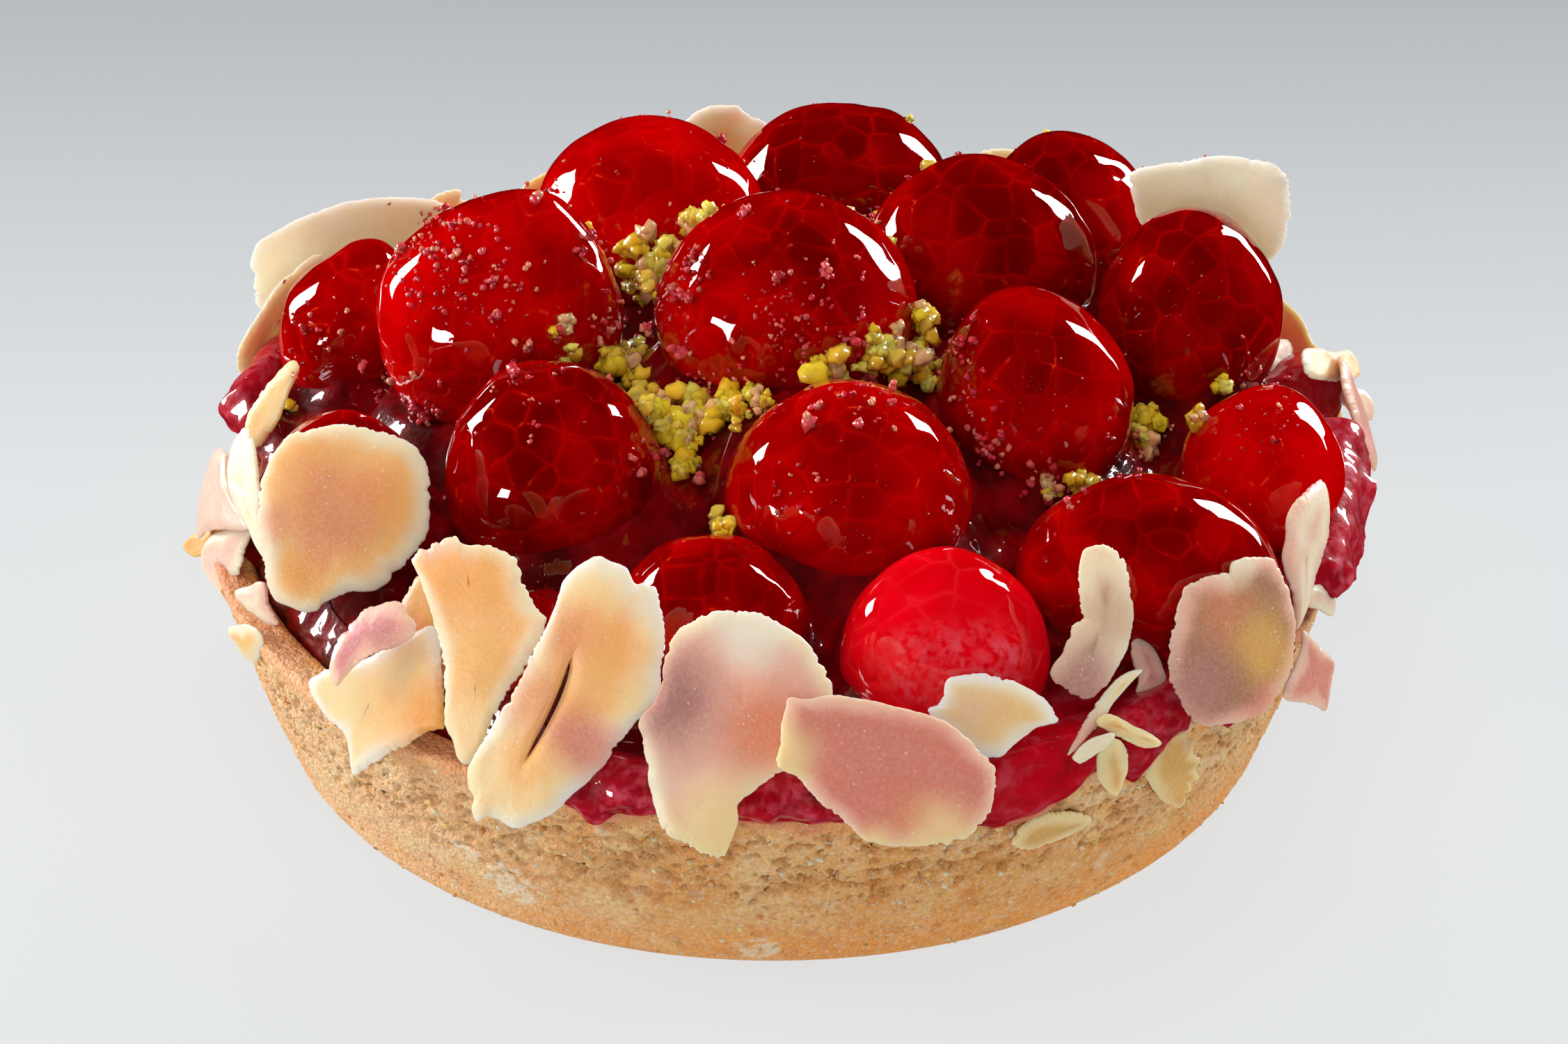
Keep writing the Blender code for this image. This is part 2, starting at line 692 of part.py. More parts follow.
def back_flakes():
    """Slices round the side that lies behind, spread by a rule with a seeded draw."""
    draw = random.Random(SEED)
    made = []
    step = (BACK_TO - BACK_FROM) / BACK_FLAKES
    for index in range(BACK_FLAKES):
        one = {name: draw.uniform(*limits) for name, limits in BACK_RANGES.items()}
        azimuth = BACK_FROM + step * (index + 0.5) + one["stray"]
        turn = math.radians(azimuth)
        flake = Flake(
            name="flake_back_%02d" % (index + 1),
            middle=(one["radius"] * math.cos(turn), one["radius"] * math.sin(turn), one["height"]),
            facing=azimuth + 90 + one["turn"],
            lean=one["lean"],
            spin=one["spin"],
            length=one["length"],
            width=one["width"],
            taper=one["taper"],
            square=one["square"],
            start=BACK_START,
        )
        made.append(flake)
    return made


def make_flakes(collection, finish, obstacles):
    """All slices that are nodes of their own."""
    laid = list(obstacles)
    for flake in FLAKES + back_flakes():
        laid.append(add_flake(flake, collection, finish, laid))


def chip_solids(host, others):
    """Small almond chips of one host, each half sunk into its surface and raised clear of the other pieces."""
    surface = tree_of([host])
    rest = tree_of(others)
    made = []
    for number, chip in enumerate(CHIPS):
        if chip.host != host.name:
            continue
        flake = Flake(
            name="chip_%02d" % number,
            middle=chip.middle,
            facing=chip.facing,
            lean=chip.lean,
            spin=chip.spin,
            length=chip.length,
            width=chip.width,
            taper=chip.taper,
            cup=0.2,
        )
        turn, normal = flake_axes(flake)
        for lift in range(CHIP_LIFTS):
            start = (Vector(chip.middle) + Vector((0, 0, CHIP_LIFT * lift)) + normal * CHIP_START) * MM
            hit = surface.ray_cast(start, -normal)[0]
            if hit is None:
                continue
            mesh = mesh_from(lambda work: sheet(work, flake, CHIP_EDGE_POINTS, (1.0,)), flake.name)
            item = bpy.data.objects.new(flake.name, mesh)
            bpy.context.scene.collection.objects.link(item)
            item.location = hit + normal * 0.1 * MM
            item.rotation_euler = turn.to_euler()
            solid_sheet(item)
            solid = frozen(item)
            if not tree_of([solid]).overlap(rest):
                made.append(solid)
                break
            bpy.data.objects.remove(solid, do_unlink=True)
    return made


def frozen(item):
    """Object with its modifiers applied and its place in its mesh, taken out of the scene."""
    mesh = evaluated(item)
    mesh.transform(item.matrix_world)
    made = bpy.data.objects.new(item.name + "_frozen", mesh)
    bpy.data.objects.remove(item, do_unlink=True)
    return made


def crumb_grains(hosts):
    """Grains that fall from above and stick to the first piece that they meet, sorted by that piece."""
    draw = random.Random(SEED + 1)
    trees = {item.name: tree_of([item]) for item in hosts}
    grains = {item.name: [] for item in hosts}
    placed = []
    for middle, spread, count in CRUMBS:
        for number in range(count):
            x = middle[0] + draw.gauss(0, spread * 0.5)
            y = middle[1] + draw.gauss(0, spread * 0.5)
            size = draw.uniform(*GRAIN_SIZES)
            above = Vector((x, y, FALL_HEIGHT)) * MM
            hits = {name: tree.ray_cast(above, Vector((0, 0, -1)))[0] for name, tree in trees.items()}
            found = {name: hit.z for name, hit in hits.items() if hit is not None}
            host = max(found, key=found.get)
            spot = hits[host] + Vector((0, 0, size * (1 - CRUMB_SUNK) * 0.4 * MM))
            room = min(tree.find_nearest(spot)[3] for name, tree in trees.items() if name != host)
            others = [(other, far) for other, far, piece in placed if piece != host]
            clear = [(spot - other).length - far * GRAIN_SPREAD * MM for other, far in others]
            apart = min(clear, default=1.0)
            if min(room, apart) < (size * GRAIN_SPREAD + GAP) * MM:
                continue
            placed.append((spot, size, host))
            grains[host].append(grain(spot, size, draw))
    return grains


def grain(place, size, draw):
    """One uneven crumb."""
    def build(work):
        bmesh.ops.create_icosphere(work, subdivisions=1, radius=size * MM)
        for vertex in work.verts:
            vertex.co *= draw.uniform(0.8, 1.15)
    made = bpy.data.objects.new("grain", mesh_from(build, "grain"))
    made.location = place
    made.rotation_euler = (draw.uniform(0, 6), draw.uniform(0, 6), draw.uniform(0, 6))
    return made


def main():
    """Builds the tartlet."""
    clear_scene()
    tart = bpy.data.collections.new("raspberry_tartlet")
    guides = bpy.data.collections.new("guides")
    bpy.context.scene.collection.children.link(tart)
    bpy.context.scene.collection.children.link(guides)
    crust = material("shortcrust", (0.62, 0.40, 0.18), 0.75)
    glaze = material("red_glaze", (0.32, 0.005, 0.02), 0.12, 1.0)
    fruit = material("glazed_raspberry", (0.42, 0.004, 0.012), 0.15, 1.0)
    almond = material("toasted_almond", (0.84, 0.64, 0.42), 0.55)
    case = make_case(tart, guides, crust)
    filling = make_filling(tart, glaze)
    for host, other in ((case, filling), (filling, case)):
        combine(host, chip_solids(host, [other]), "UNION", guides)
        keep_largest(host)
    for cutter in [rim_cutter(guides)] + pocket_cutters():
        combine(filling, [cutter], "DIFFERENCE", guides)
    keep_largest(filling)
    berries = make_berries(tart, fruit)
    hosts = [filling] + berries
    for name, grains in crumb_grains(hosts).items():
        if not grains:
            continue
        host = bpy.data.objects[name]
        combine(host, grains, "UNION", guides)
        keep_largest(host)
    make_flakes(tart, almond, [case, filling] + berries)
    for item in tart.objects:
        item.data.shade_smooth()
        item.data.set_sharp_from_angle(angle=math.radians(40))


main()
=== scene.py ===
"""Looks of a small raspberry and almond tartlet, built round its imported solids.

Sizes in the tables are millimetres and degrees, and MM turns them to metres. +Z is up, the front is
-Y, and the origin is the middle of the floor that the tartlet stands on. A pixel is a place in the
2253 x 1500 photograph, and the camera turns it to a place on the piece that carries it.
"""
from __future__ import annotations

import logging
import math
from dataclasses import dataclass, field
from enum import Enum
from itertools import combinations, product
from typing import Callable, Iterable, Sequence

import bpy
import numpy as np
from mathutils import Matrix, Vector
from mathutils.bvhtree import BVHTree


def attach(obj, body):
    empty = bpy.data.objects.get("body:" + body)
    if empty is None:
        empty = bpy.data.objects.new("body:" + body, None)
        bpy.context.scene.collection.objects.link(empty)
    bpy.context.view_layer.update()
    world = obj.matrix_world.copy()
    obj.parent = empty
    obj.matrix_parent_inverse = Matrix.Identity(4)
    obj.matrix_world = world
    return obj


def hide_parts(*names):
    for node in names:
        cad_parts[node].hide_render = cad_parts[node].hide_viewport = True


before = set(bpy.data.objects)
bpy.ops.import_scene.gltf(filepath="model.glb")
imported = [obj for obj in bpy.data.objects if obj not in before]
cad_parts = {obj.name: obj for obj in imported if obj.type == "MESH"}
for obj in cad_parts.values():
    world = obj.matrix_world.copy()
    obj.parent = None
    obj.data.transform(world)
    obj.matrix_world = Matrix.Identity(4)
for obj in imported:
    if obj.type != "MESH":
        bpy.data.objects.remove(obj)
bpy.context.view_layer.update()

MM = 0.001
IMAGE = (2253, 1500)
SEED = 20
ROOT = "root"

Colour = tuple[float, float, float]

log = logging.getLogger("tartlet")


# Numbers


def smooth_step(value: np.ndarray, low: float, high: float) -> np.ndarray:
    """Eases from 0 at low to 1 at high: 3t² - 2t³ with t clipped to 0..1."""
    part = np.clip((value - low) / (high - low), 0.0, 1.0)
    return part * part * (3 - 2 * part)


def blend(first: np.ndarray, second: np.ndarray, share: np.ndarray) -> np.ndarray:
    """Straight mix of two values, channels last: first + (second - first) * share."""
    first = np.asarray(first)
    return first + (np.asarray(second) - first) * np.asarray(share)[..., None]


def linear(*colour: float) -> Colour:
    """Turns a display colour of 0..255 to linear light.

    Args:
        colour: Red, green and blue.

    Returns:
        Linear red, green and blue.
    """
    parts = np.asarray(colour, dtype=float) / 255
    light = np.where(parts <= 0.04045, parts / 12.92, ((parts + 0.055) / 1.055) ** 2.4)
    return tuple(float(part) for part in light)


def unit(vectors: np.ndarray) -> np.ndarray:
    """Divides vectors by their length."""
    return vectors / np.maximum(np.linalg.norm(vectors, axis=-1, keepdims=True), 1e-12)


def coords(*parts: np.ndarray | float) -> np.ndarray:
    """Joins coordinates that broadcast together along a new last axis."""
    return np.stack(np.broadcast_arrays(*parts), axis=-1)


def bells(azimuth: np.ndarray, rows: Iterable[tuple[float, ...]]) -> np.ndarray:
    """Highest of several bell curves round the axis, each amount e^-(angle / width)².

    Args:
        azimuth: Degrees.
        rows: Middle in degrees, width in degrees and, unless it is 1, amount of each bell.

    Returns:
        Values of 0 to the largest amount.
    """
    curves = []
    for angle, width, *amount in rows:
        apart = (azimuth - angle + 180) % 360 - 180
        curves.append((amount[0] if amount else 1.0) * np.exp(-((apart / width) ** 2)))
    return np.max(curves, axis=0)


class Unevenness:
    """Repeatable smooth and cellular noise over points in millimetres."""

    CORNERS = np.array(list(product((0, 1), repeat=3)))
    NEIGHBOURS = np.array(list(product((-1, 0, 1), repeat=3)))
    REACH = 1.7
    LAYER_SHIFT = 17.3
    TABLE = 256

    def __init__(self, seed: int) -> None:
        """Draws the tables that the noise reads.

        Args:
            seed: Number that fixes every draw.
        """
        draw = np.random.default_rng(seed)
        self._order = draw.permutation(self.TABLE)
        self._slopes = unit(draw.normal(size=(self.TABLE, 3)))
        self._spots = draw.uniform(0.1, 0.9, size=(self.TABLE, 3))
        self._shades = draw.uniform(size=self.TABLE)

    def _pick(self, cell: np.ndarray) -> np.ndarray:
        """Looks up the three numbers of each cell in turn.

        Args:
            cell: Whole numbers.

        Returns:
            Table entry of each cell.
        """
        entry = 0
        for axis in range(3):
            entry = self._order[(entry + cell[..., axis]) & (self.TABLE - 1)]
        return entry

    def smooth(self, points: np.ndarray, size: float) -> np.ndarray:
        """Gradient noise: slopes at the corners of a lattice, joined by the quintic ease.

        Args:
            points: Places in millimetres, coordinates last.
            size: Lattice spacing in millimetres.

        Returns:
            Values of about -1 to 1.
        """
        scaled = points / size
        low = np.floor(scaled).astype(np.int64)
        part = scaled - low
        ease = part**3 * (part * (part * 6 - 15) + 10)
        total = np.zeros(points.shape[:-1])
        for corner in self.CORNERS:
            slope = self._slopes[self._pick(low + corner)]
            weight = np.prod(np.where(corner, ease, 1 - ease), axis=-1)
            total += weight * np.sum(slope * (part - corner), axis=-1)
        return total * self.REACH

    def layered(self, points: np.ndarray, size: float, layers: int = 3, flat: float = 1.0) -> np.ndarray:
        """Sum of smooth noise at halving sizes and halving strengths.

        Args:
            points: Places in millimetres.
            size: Spacing of the coarsest layer.
            layers: How many layers.
            flat: How many times lower than wide its marks are.

        Returns:
            Values of about -1 to 1.
        """
        points = points * np.array([1.0, 1.0, flat])
        total = np.zeros(points.shape[:-1])
        for layer in range(layers):
            total += self.smooth(points + self.LAYER_SHIFT * layer, size / 2**layer) / 2**layer
        return total / (2 - 2 ** (1 - layers))

    def cells(self, points: np.ndarray, size: float) -> np.ndarray:
        """Cellular noise: one seed a cell, and the distance to the nearest one.

        Args:
            points: Places in millimetres.
            size: Cell size in millimetres.

        Returns:
            The distances, in cells.
        """
        scaled = points / size
        low = np.floor(scaled).astype(np.int64)
        near = np.full(points.shape[:-1], np.inf)
        for step in self.NEIGHBOURS:
            cell = low + step
            away = np.linalg.norm(cell + self._spots[self._pick(cell)] - scaled, axis=-1)
            near = np.minimum(near, away)
        return near


NOISE = Unevenness(SEED)


def spline(knots: np.ndarray, count: int, closed: bool = False) -> np.ndarray:
    """Catmull-Rom curve through its knots, along the first axis.

    Between knots b and c, with a before and d after, a point at share t is
    b + t(c - a)/2 + t²(2a - 5b + 4c - d)/2 + t³(3b - a - 3c + d)/2.

    Args:
        knots: Points, with any further axes carried along.
        count: How many points to return.
        closed: Whether the last knot joins the first.

    Returns:
        Points evenly spaced in the knots' numbering.
    """
    total = len(knots)
    spans = total if closed else total - 1
    place = np.arange(count) * spans / (count if closed else count - 1)
    index = np.minimum(place.astype(int), spans - 1)
    part = (place - index).reshape((-1,) + (1,) * (knots.ndim - 1))
    wanted = [index + offset for offset in (-1, 0, 1, 2)]
    a, b, c, d = (knots[spot % total if closed else np.clip(spot, 0, total - 1)] for spot in wanted)
    square = part * part
    cube = square * part
    curve = part * (c - a) + square * (2 * a - 5 * b + 4 * c - d) + cube * (3 * b - a - 3 * c + d)
    return b + 0.5 * curve


def lengths(line: np.ndarray) -> np.ndarray:
    """Length along a line up to each of its points."""
    return np.concatenate([[0.0], np.cumsum(np.linalg.norm(np.diff(line, axis=0), axis=1))])


def read_along(place: np.ndarray, marks: np.ndarray, line: np.ndarray) -> np.ndarray:
    """Points of a line at places between the marks of its own points, by straight mixes."""
    return coords(*(np.interp(place, marks, axis) for axis in line.T))


def even_loop(loop: np.ndarray, count: int) -> np.ndarray:
    """Points evenly spaced by length along a closed loop, from the one that is furthest up.

    Args:
        loop: Points of the loop, across and along.
        count: How many points to return.

    Returns:
        The points, anticlockwise.
    """
    after = np.roll(loop, -1, axis=0)
    if np.sum(loop[:, 0] * after[:, 1] - after[:, 0] * loop[:, 1]) < 0:
        loop = loop[::-1]
    loop = np.roll(loop, -int(np.argmax(loop[:, 1])), axis=0)
    shut = np.vstack([loop, loop[:1]])
    length = lengths(shut)
    return read_along(np.arange(count) * length[-1] / count, length, shut)


# Surfaces


@dataclass
class Skin:
    """A surface as arrays: points in millimetres, faces, and values carried by the points."""

    points: np.ndarray
    quads: np.ndarray
    threes: np.ndarray = field(default_factory=lambda: np.zeros((0, 3), dtype=np.int64))
    values: dict[str, np.ndarray] = field(default_factory=dict)

    @classmethod
    def lofted(cls, rings: np.ndarray, first: np.ndarray, last: np.ndarray) -> Skin:
        """Closed skin over rings of equal length, with a point at each end.

        Args:
            rings: Points as rings, columns, coordinates.
            first: Point that closes the first ring.
            last: Point that closes the last ring.

        Returns:
            The skin, facing outwards.
        """
        rows, count = rings.shape[:2]
        points = np.vstack([rings.reshape(-1, 3), first, last])
        column = np.arange(count)
        after = (column + 1) % count
        top = (rows - 1) * count
        fan = coords(rows * count, after, column)
        cap = coords(rows * count + 1, column + top, after + top)
        return cls(points, cls._between(rows, count, False), np.vstack([fan, cap])).outward()

    @classmethod
    def looped(cls, rings: np.ndarray) -> Skin:
        """Closed skin over rings, columns, coordinates, whose last ring joins its first, as on a hoop."""
        return cls(rings.reshape(-1, 3), cls._between(*rings.shape[:2], True)).outward()

    @classmethod
    def folded(cls, rings: np.ndarray, values: dict[str, np.ndarray]) -> Skin:
        """Closed skin whose first and last rings are each folded flat, point k on point -k.

        Args:
            rings: Points as rings, columns, coordinates.
            values: What the points carry.

        Returns:
            The skin, facing outwards.
        """
        rows, count = rings.shape[:2]
        index = np.arange(rows * count).reshape(rows, count)
        for row in (0, rows - 1):
            index[row] = np.minimum(index[row], index[row][-np.arange(count)])
        kept, index = np.unique(index, return_inverse=True)
        quads = index.reshape(-1)[cls._between(rows, count, False)]
        flat = (quads == np.roll(quads, 1, axis=1)).any(axis=1)
        threes = [list(dict.fromkeys(quad)) for quad in quads[flat].tolist()]
        skin = cls(rings.reshape(-1, 3)[kept], quads[~flat], np.array(threes, dtype=np.int64).reshape(-1, 3))
        skin.values = {key: value[kept] for key, value in values.items()}
        return skin.outward()

    @staticmethod
    def _between(rows: int, count: int, looped: bool) -> np.ndarray:
        """Four-sided faces between neighbouring rings.

        Args:
            rows: How many rings there are.
            count: Points in each ring.
            looped: Whether the last ring joins the first.

        Returns:
            The faces as rows of four points.
        """
        row = np.arange(rows if looped else rows - 1)[:, None] * count
        above = (row + count) % (rows * count)
        column = np.arange(count)
        after = (column + 1) % count
        return coords(row + column, row + after, above + after, above + column).reshape(-1, 4)

    def faces_of_three(self) -> np.ndarray:
        """All faces as triangles."""
        halves = [self.quads[:, (0, 1, 2)], self.quads[:, (0, 2, 3)], self.threes]
        return np.vstack([half for half in halves if len(half)])

    def outward(self) -> Skin:
        """Turns the faces round if the enclosed volume is negative.

        Returns:
            The same skin.
        """
        a, b, c = (self.points[corner] for corner in self.faces_of_three().T)
        if np.sum(a * np.cross(b, c)) < 0:
            self.quads = self.quads[:, ::-1]
            self.threes = self.threes[:, ::-1]
        return self

    def mesh(self, name: str) -> bpy.types.Mesh:
        """Puts the skin in a mesh, in metres, with its values as attributes.

        Args:
            name: Name of the mesh.

        Returns:
            The mesh, shaded smooth.
        """
        made = bpy.data.meshes.new(name)
        made.from_pydata((self.points * MM).tolist(), [], self.quads.tolist() + self.threes.tolist())
        for key, value in self.values.items():
            if value.ndim == 1:
                layer = made.attributes.new(key, "FLOAT", "POINT")
                layer.data.foreach_set("value", value.astype(np.float32))
            else:
                layer = made.attributes.new(key, "FLOAT_COLOR", "POINT")
                layer.data.foreach_set("color", coords(*value.T, 1.0).astype(np.float32).ravel())
        made.shade_smooth()
        return made

    def tree(self) -> BVHTree:
        """Search tree over the skin, in millimetres."""
        return BVHTree.FromPolygons(self.points.tolist(), self.faces_of_three().tolist())

    @classmethod
    def joined(cls, skins: Sequence[Skin]) -> Skin:
        """One skin of many separate ones, without their values.

        Args:
            skins: The skins.

        Returns:
            The joined skin.
        """
        starts = np.cumsum([0] + [len(skin.points) for skin in skins[:-1]])
        quads = [skin.quads + start for skin, start in zip(skins, starts)]
        threes = [skin.threes + start for skin, start in zip(skins, starts)]
        return cls(np.vstack([skin.points for skin in skins]), np.vstack(quads), np.vstack(threes))


def add_piece(
    name: str, skin: Skin, finish: bpy.types.Material, replaces: Sequence[str] = ()
) -> None:
    """Args:
        name: Name of the piece.
        skin: Its surface.
        finish: Its material.
        replaces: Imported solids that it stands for.
    """
    piece = bpy.data.objects.new(name, skin.mesh(name))
    piece.data.materials.append(finish)
    bpy.context.scene.collection.objects.link(piece)
    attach(piece, ROOT)
    if replaces:
        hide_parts(*replaces)
    log.info("%s: %d triangles", name, len(skin.faces_of_three()))


# Camera, floor and light


@dataclass(frozen=True)
class Camera:
    """Camera of the photograph, in millimetres, with its focal length in pixels."""

    distance: float = 500.0
    elevation: float = 31.0
    focal: float = 9300.0
    target_height: float = 20.0
    target_pixel: tuple[float, float] = (1113.0, 668.0)
    sensor: float = 36.0

    @property
    def place(self) -> np.ndarray:
        """Where the camera stands."""
        rise, away = math.radians(self.elevation), self.distance
        return np.array([0.0, -away * math.cos(rise), self.target_height + away * math.sin(rise)])

    @property
    def axes(self) -> np.ndarray:
        """Turn of the camera, with the target at its pixel.

        Returns:
            Rows: to the right, up and forward.
        """
        rise = math.radians(self.elevation)
        up = np.array([0.0, math.sin(rise), math.cos(rise)])
        aside = (IMAGE[0] / 2 - self.target_pixel[0]) / self.focal
        below = (self.target_pixel[1] - IMAGE[1] / 2) / self.focal
        forward = unit(np.array([aside, math.cos(rise), -math.sin(rise)]) + below * up)
        right = unit(np.cross(forward, np.array([0.0, 0.0, 1.0])))
        return np.stack([right, np.cross(right, forward), forward])

    def rays(self, pixels: np.ndarray) -> np.ndarray:
        """Directions of the sight lines through pixels.

        Args:
            pixels: Across and down, one row each.

        Returns:
            Unit directions.
        """
        right, up, forward = self.axes
        across = (pixels[:, :1] - IMAGE[0] / 2) / self.focal
        above = (IMAGE[1] / 2 - pixels[:, 1:]) / self.focal
        return unit(forward + across * right + above * up)

    def make(self) -> None:
        """Adds the camera and makes it the scene's."""
        lens = bpy.data.cameras.new("camera")
        lens.sensor_width = self.sensor
        lens.lens = self.sensor * self.focal / IMAGE[0]
        lens.clip_start = 10 * MM
        holder = bpy.data.objects.new("camera", lens)
        right, up, forward = self.axes
        turn = Matrix((tuple(right), tuple(up), tuple(-forward))).transposed()
        holder.matrix_world = Matrix.Translation(self.place * MM) @ turn.to_4x4()
        bpy.context.scene.collection.objects.link(holder)
        bpy.context.scene.camera = holder


class Use(Enum):
    """What a softbox does."""

    SHINE = "seen in gloss only"
    FILL = "lights matte surfaces only"


@dataclass(frozen=True)
class Softbox:
    """One flat light: middle in millimetres, size, brightness and use."""

    name: str
    use: Use
    middle: tuple[float, float, float]
    size: tuple[float, float]
    brightness: float
    aim: tuple[float, float, float] = (0.0, 0.0, 22.0)

    def make(self) -> None:
        """Adds the light, turned to its aim with its second side upright.

        Its power is pi times its brightness and its area in square metres.
        """
        lamp = bpy.data.lights.new(self.name, "AREA")
        lamp.shape = "RECTANGLE"
        lamp.size, lamp.size_y = (side * MM for side in self.size)
        lamp.energy = math.pi * self.brightness * lamp.size * lamp.size_y
        holder = bpy.data.objects.new(self.name, lamp)
        turn = (Vector(self.middle) - Vector(self.aim)).to_track_quat("Z", "Y").to_matrix()
        holder.matrix_world = Matrix.Translation(Vector(self.middle) * MM) @ turn.to_4x4()
        holder.visible_glossy = self.use is Use.SHINE
        holder.visible_diffuse = self.use is Use.FILL
        holder.visible_transmission = False
        bpy.context.scene.collection.objects.link(holder)


@dataclass
class Studio:
    """Pale floor, even surroundings and soft lights."""

    floor_half: float = 1500.0
    softboxes: tuple[Softbox, ...] = (
        Softbox("strip_right", Use.SHINE, (375.0, 340.0, 150.0), (95.0, 330.0), 42.0),
        Softbox("strip_left", Use.SHINE, (-470.0, 240.0, 120.0), (150.0, 260.0), 42.0),
        Softbox("window_left", Use.SHINE, (-400.0, -330.0, 70.0), (125.0, 90.0), 46.0),
        Softbox("side_left", Use.FILL, (-520.0, 60.0, 160.0), (260.0, 320.0), 8.1),
        Softbox("side_right", Use.FILL, (520.0, 120.0, 160.0), (200.0, 320.0), 6.0),
        Softbox("overhead", Use.FILL, (-60.0, -60.0, 620.0), (420.0, 420.0), 2.2),
        Softbox("front", Use.FILL, (-120.0, -620.0, 300.0), (400.0, 400.0), 2.2),
        Softbox("back", Use.FILL, (60.0, 560.0, 260.0), (520.0, 260.0), 7.0),
    )
    surroundings: float = 0.3
    air: Colour = (0.95, 0.97, 1.0)
    floor_matte: Colour = (0.12, 0.12, 0.12)
    floor_glow: float = 0.88
    floor_lead: float = 0.02
    floor_depth: float = 0.16
    painted_floor_falloff: tuple[tuple[float, Colour], ...] = (
        (0.0, linear(226, 229, 230)),
        (0.3, linear(219, 223, 225)),
        (0.6, linear(192, 196, 199)),
        (0.9, linear(157, 161, 164)),
    )

    def make(self) -> None:
        """Adds the floor, the lights and the surroundings."""
        bpy.context.scene.view_settings.view_transform = "Standard"
        mesh = bpy.data.meshes.new("floor")
        half = self.floor_half * MM
        corners = [(-half, -half, 0), (half, -half, 0), (half, half, 0), (-half, half, 0)]
        mesh.from_pydata(corners, [], [(0, 1, 2, 3)])
        mesh.materials.append(self.floor_finish())
        floor = bpy.data.objects.new("floor", mesh)
        floor.visible_glossy = False
        bpy.context.scene.collection.objects.link(floor)
        for softbox in self.softboxes:
            softbox.make()
        world = bpy.data.worlds.new("surroundings")
        world.use_nodes = True
        background = world.node_tree.nodes["Background"].inputs
        background["Color"].default_value = (*self.air, 1.0)
        background["Strength"].default_value = self.surroundings
        world.cycles_visibility.glossy = False
        bpy.context.scene.world = world

    def floor_finish(self) -> bpy.types.Material:
        """Pale floor glowing in part so that shadows stay faint, its glow painted a little darker behind as
        light falling off.

        Returns:
            The material.
        """
        paint = Paint("floor")
        depth = paint.place().part("Y")
        shade = paint.ramp((depth + self.floor_lead) / self.floor_depth, self.painted_floor_falloff)
        return paint.finish({
            "Base Color": self.floor_matte,
            "Roughness": 1.0,
            "Specular IOR Level": 0.0,
            "Emission Color": shade,
            "Emission Strength": self.floor_glow,
        })


# Shader nodes


def operator(operation: str, swapped: bool = False) -> Callable[[Signal, Signal | float], Signal]:
    """Method of Signal that adds one Math node.

    Args:
        operation: Operation of the node.
        swapped: Whether the other operand comes first.

    Returns:
        The method.
    """

    def apply(self: Signal, other: Signal | float) -> Signal:
        """Adds the node for both operands."""
        operands = (other, self) if swapped else (self, other)
        return self.paint.node("ShaderNodeMath", {"operation": operation}, dict(enumerate(operands)))

    return apply


class Signal:
    """One output of a material's nodes, with arithmetic."""

    EASE = {"interpolation_type": "SMOOTHSTEP", "clamp": True}

    __add__ = __radd__ = operator("ADD")
    __sub__ = operator("SUBTRACT")
    __rsub__ = operator("SUBTRACT", swapped=True)
    __mul__ = __rmul__ = operator("MULTIPLY")
    __truediv__ = operator("DIVIDE")

    def __init__(self, paint: Paint, socket: bpy.types.NodeSocket) -> None:
        """Wraps an output socket of a material."""
        self.paint = paint
        self.socket = socket

    def part(self, axis: str) -> Signal:
        """One coordinate of a vector."""
        return self.paint.node("ShaderNodeSeparateXYZ", {}, {0: self}, axis)

    def step(self, low: float, high: float) -> Signal:
        """Eases from 0 at low to 1 at high."""
        sockets = {"Value": self, "From Min": low, "From Max": high}
        return self.paint.node("ShaderNodeMapRange", self.EASE, sockets)


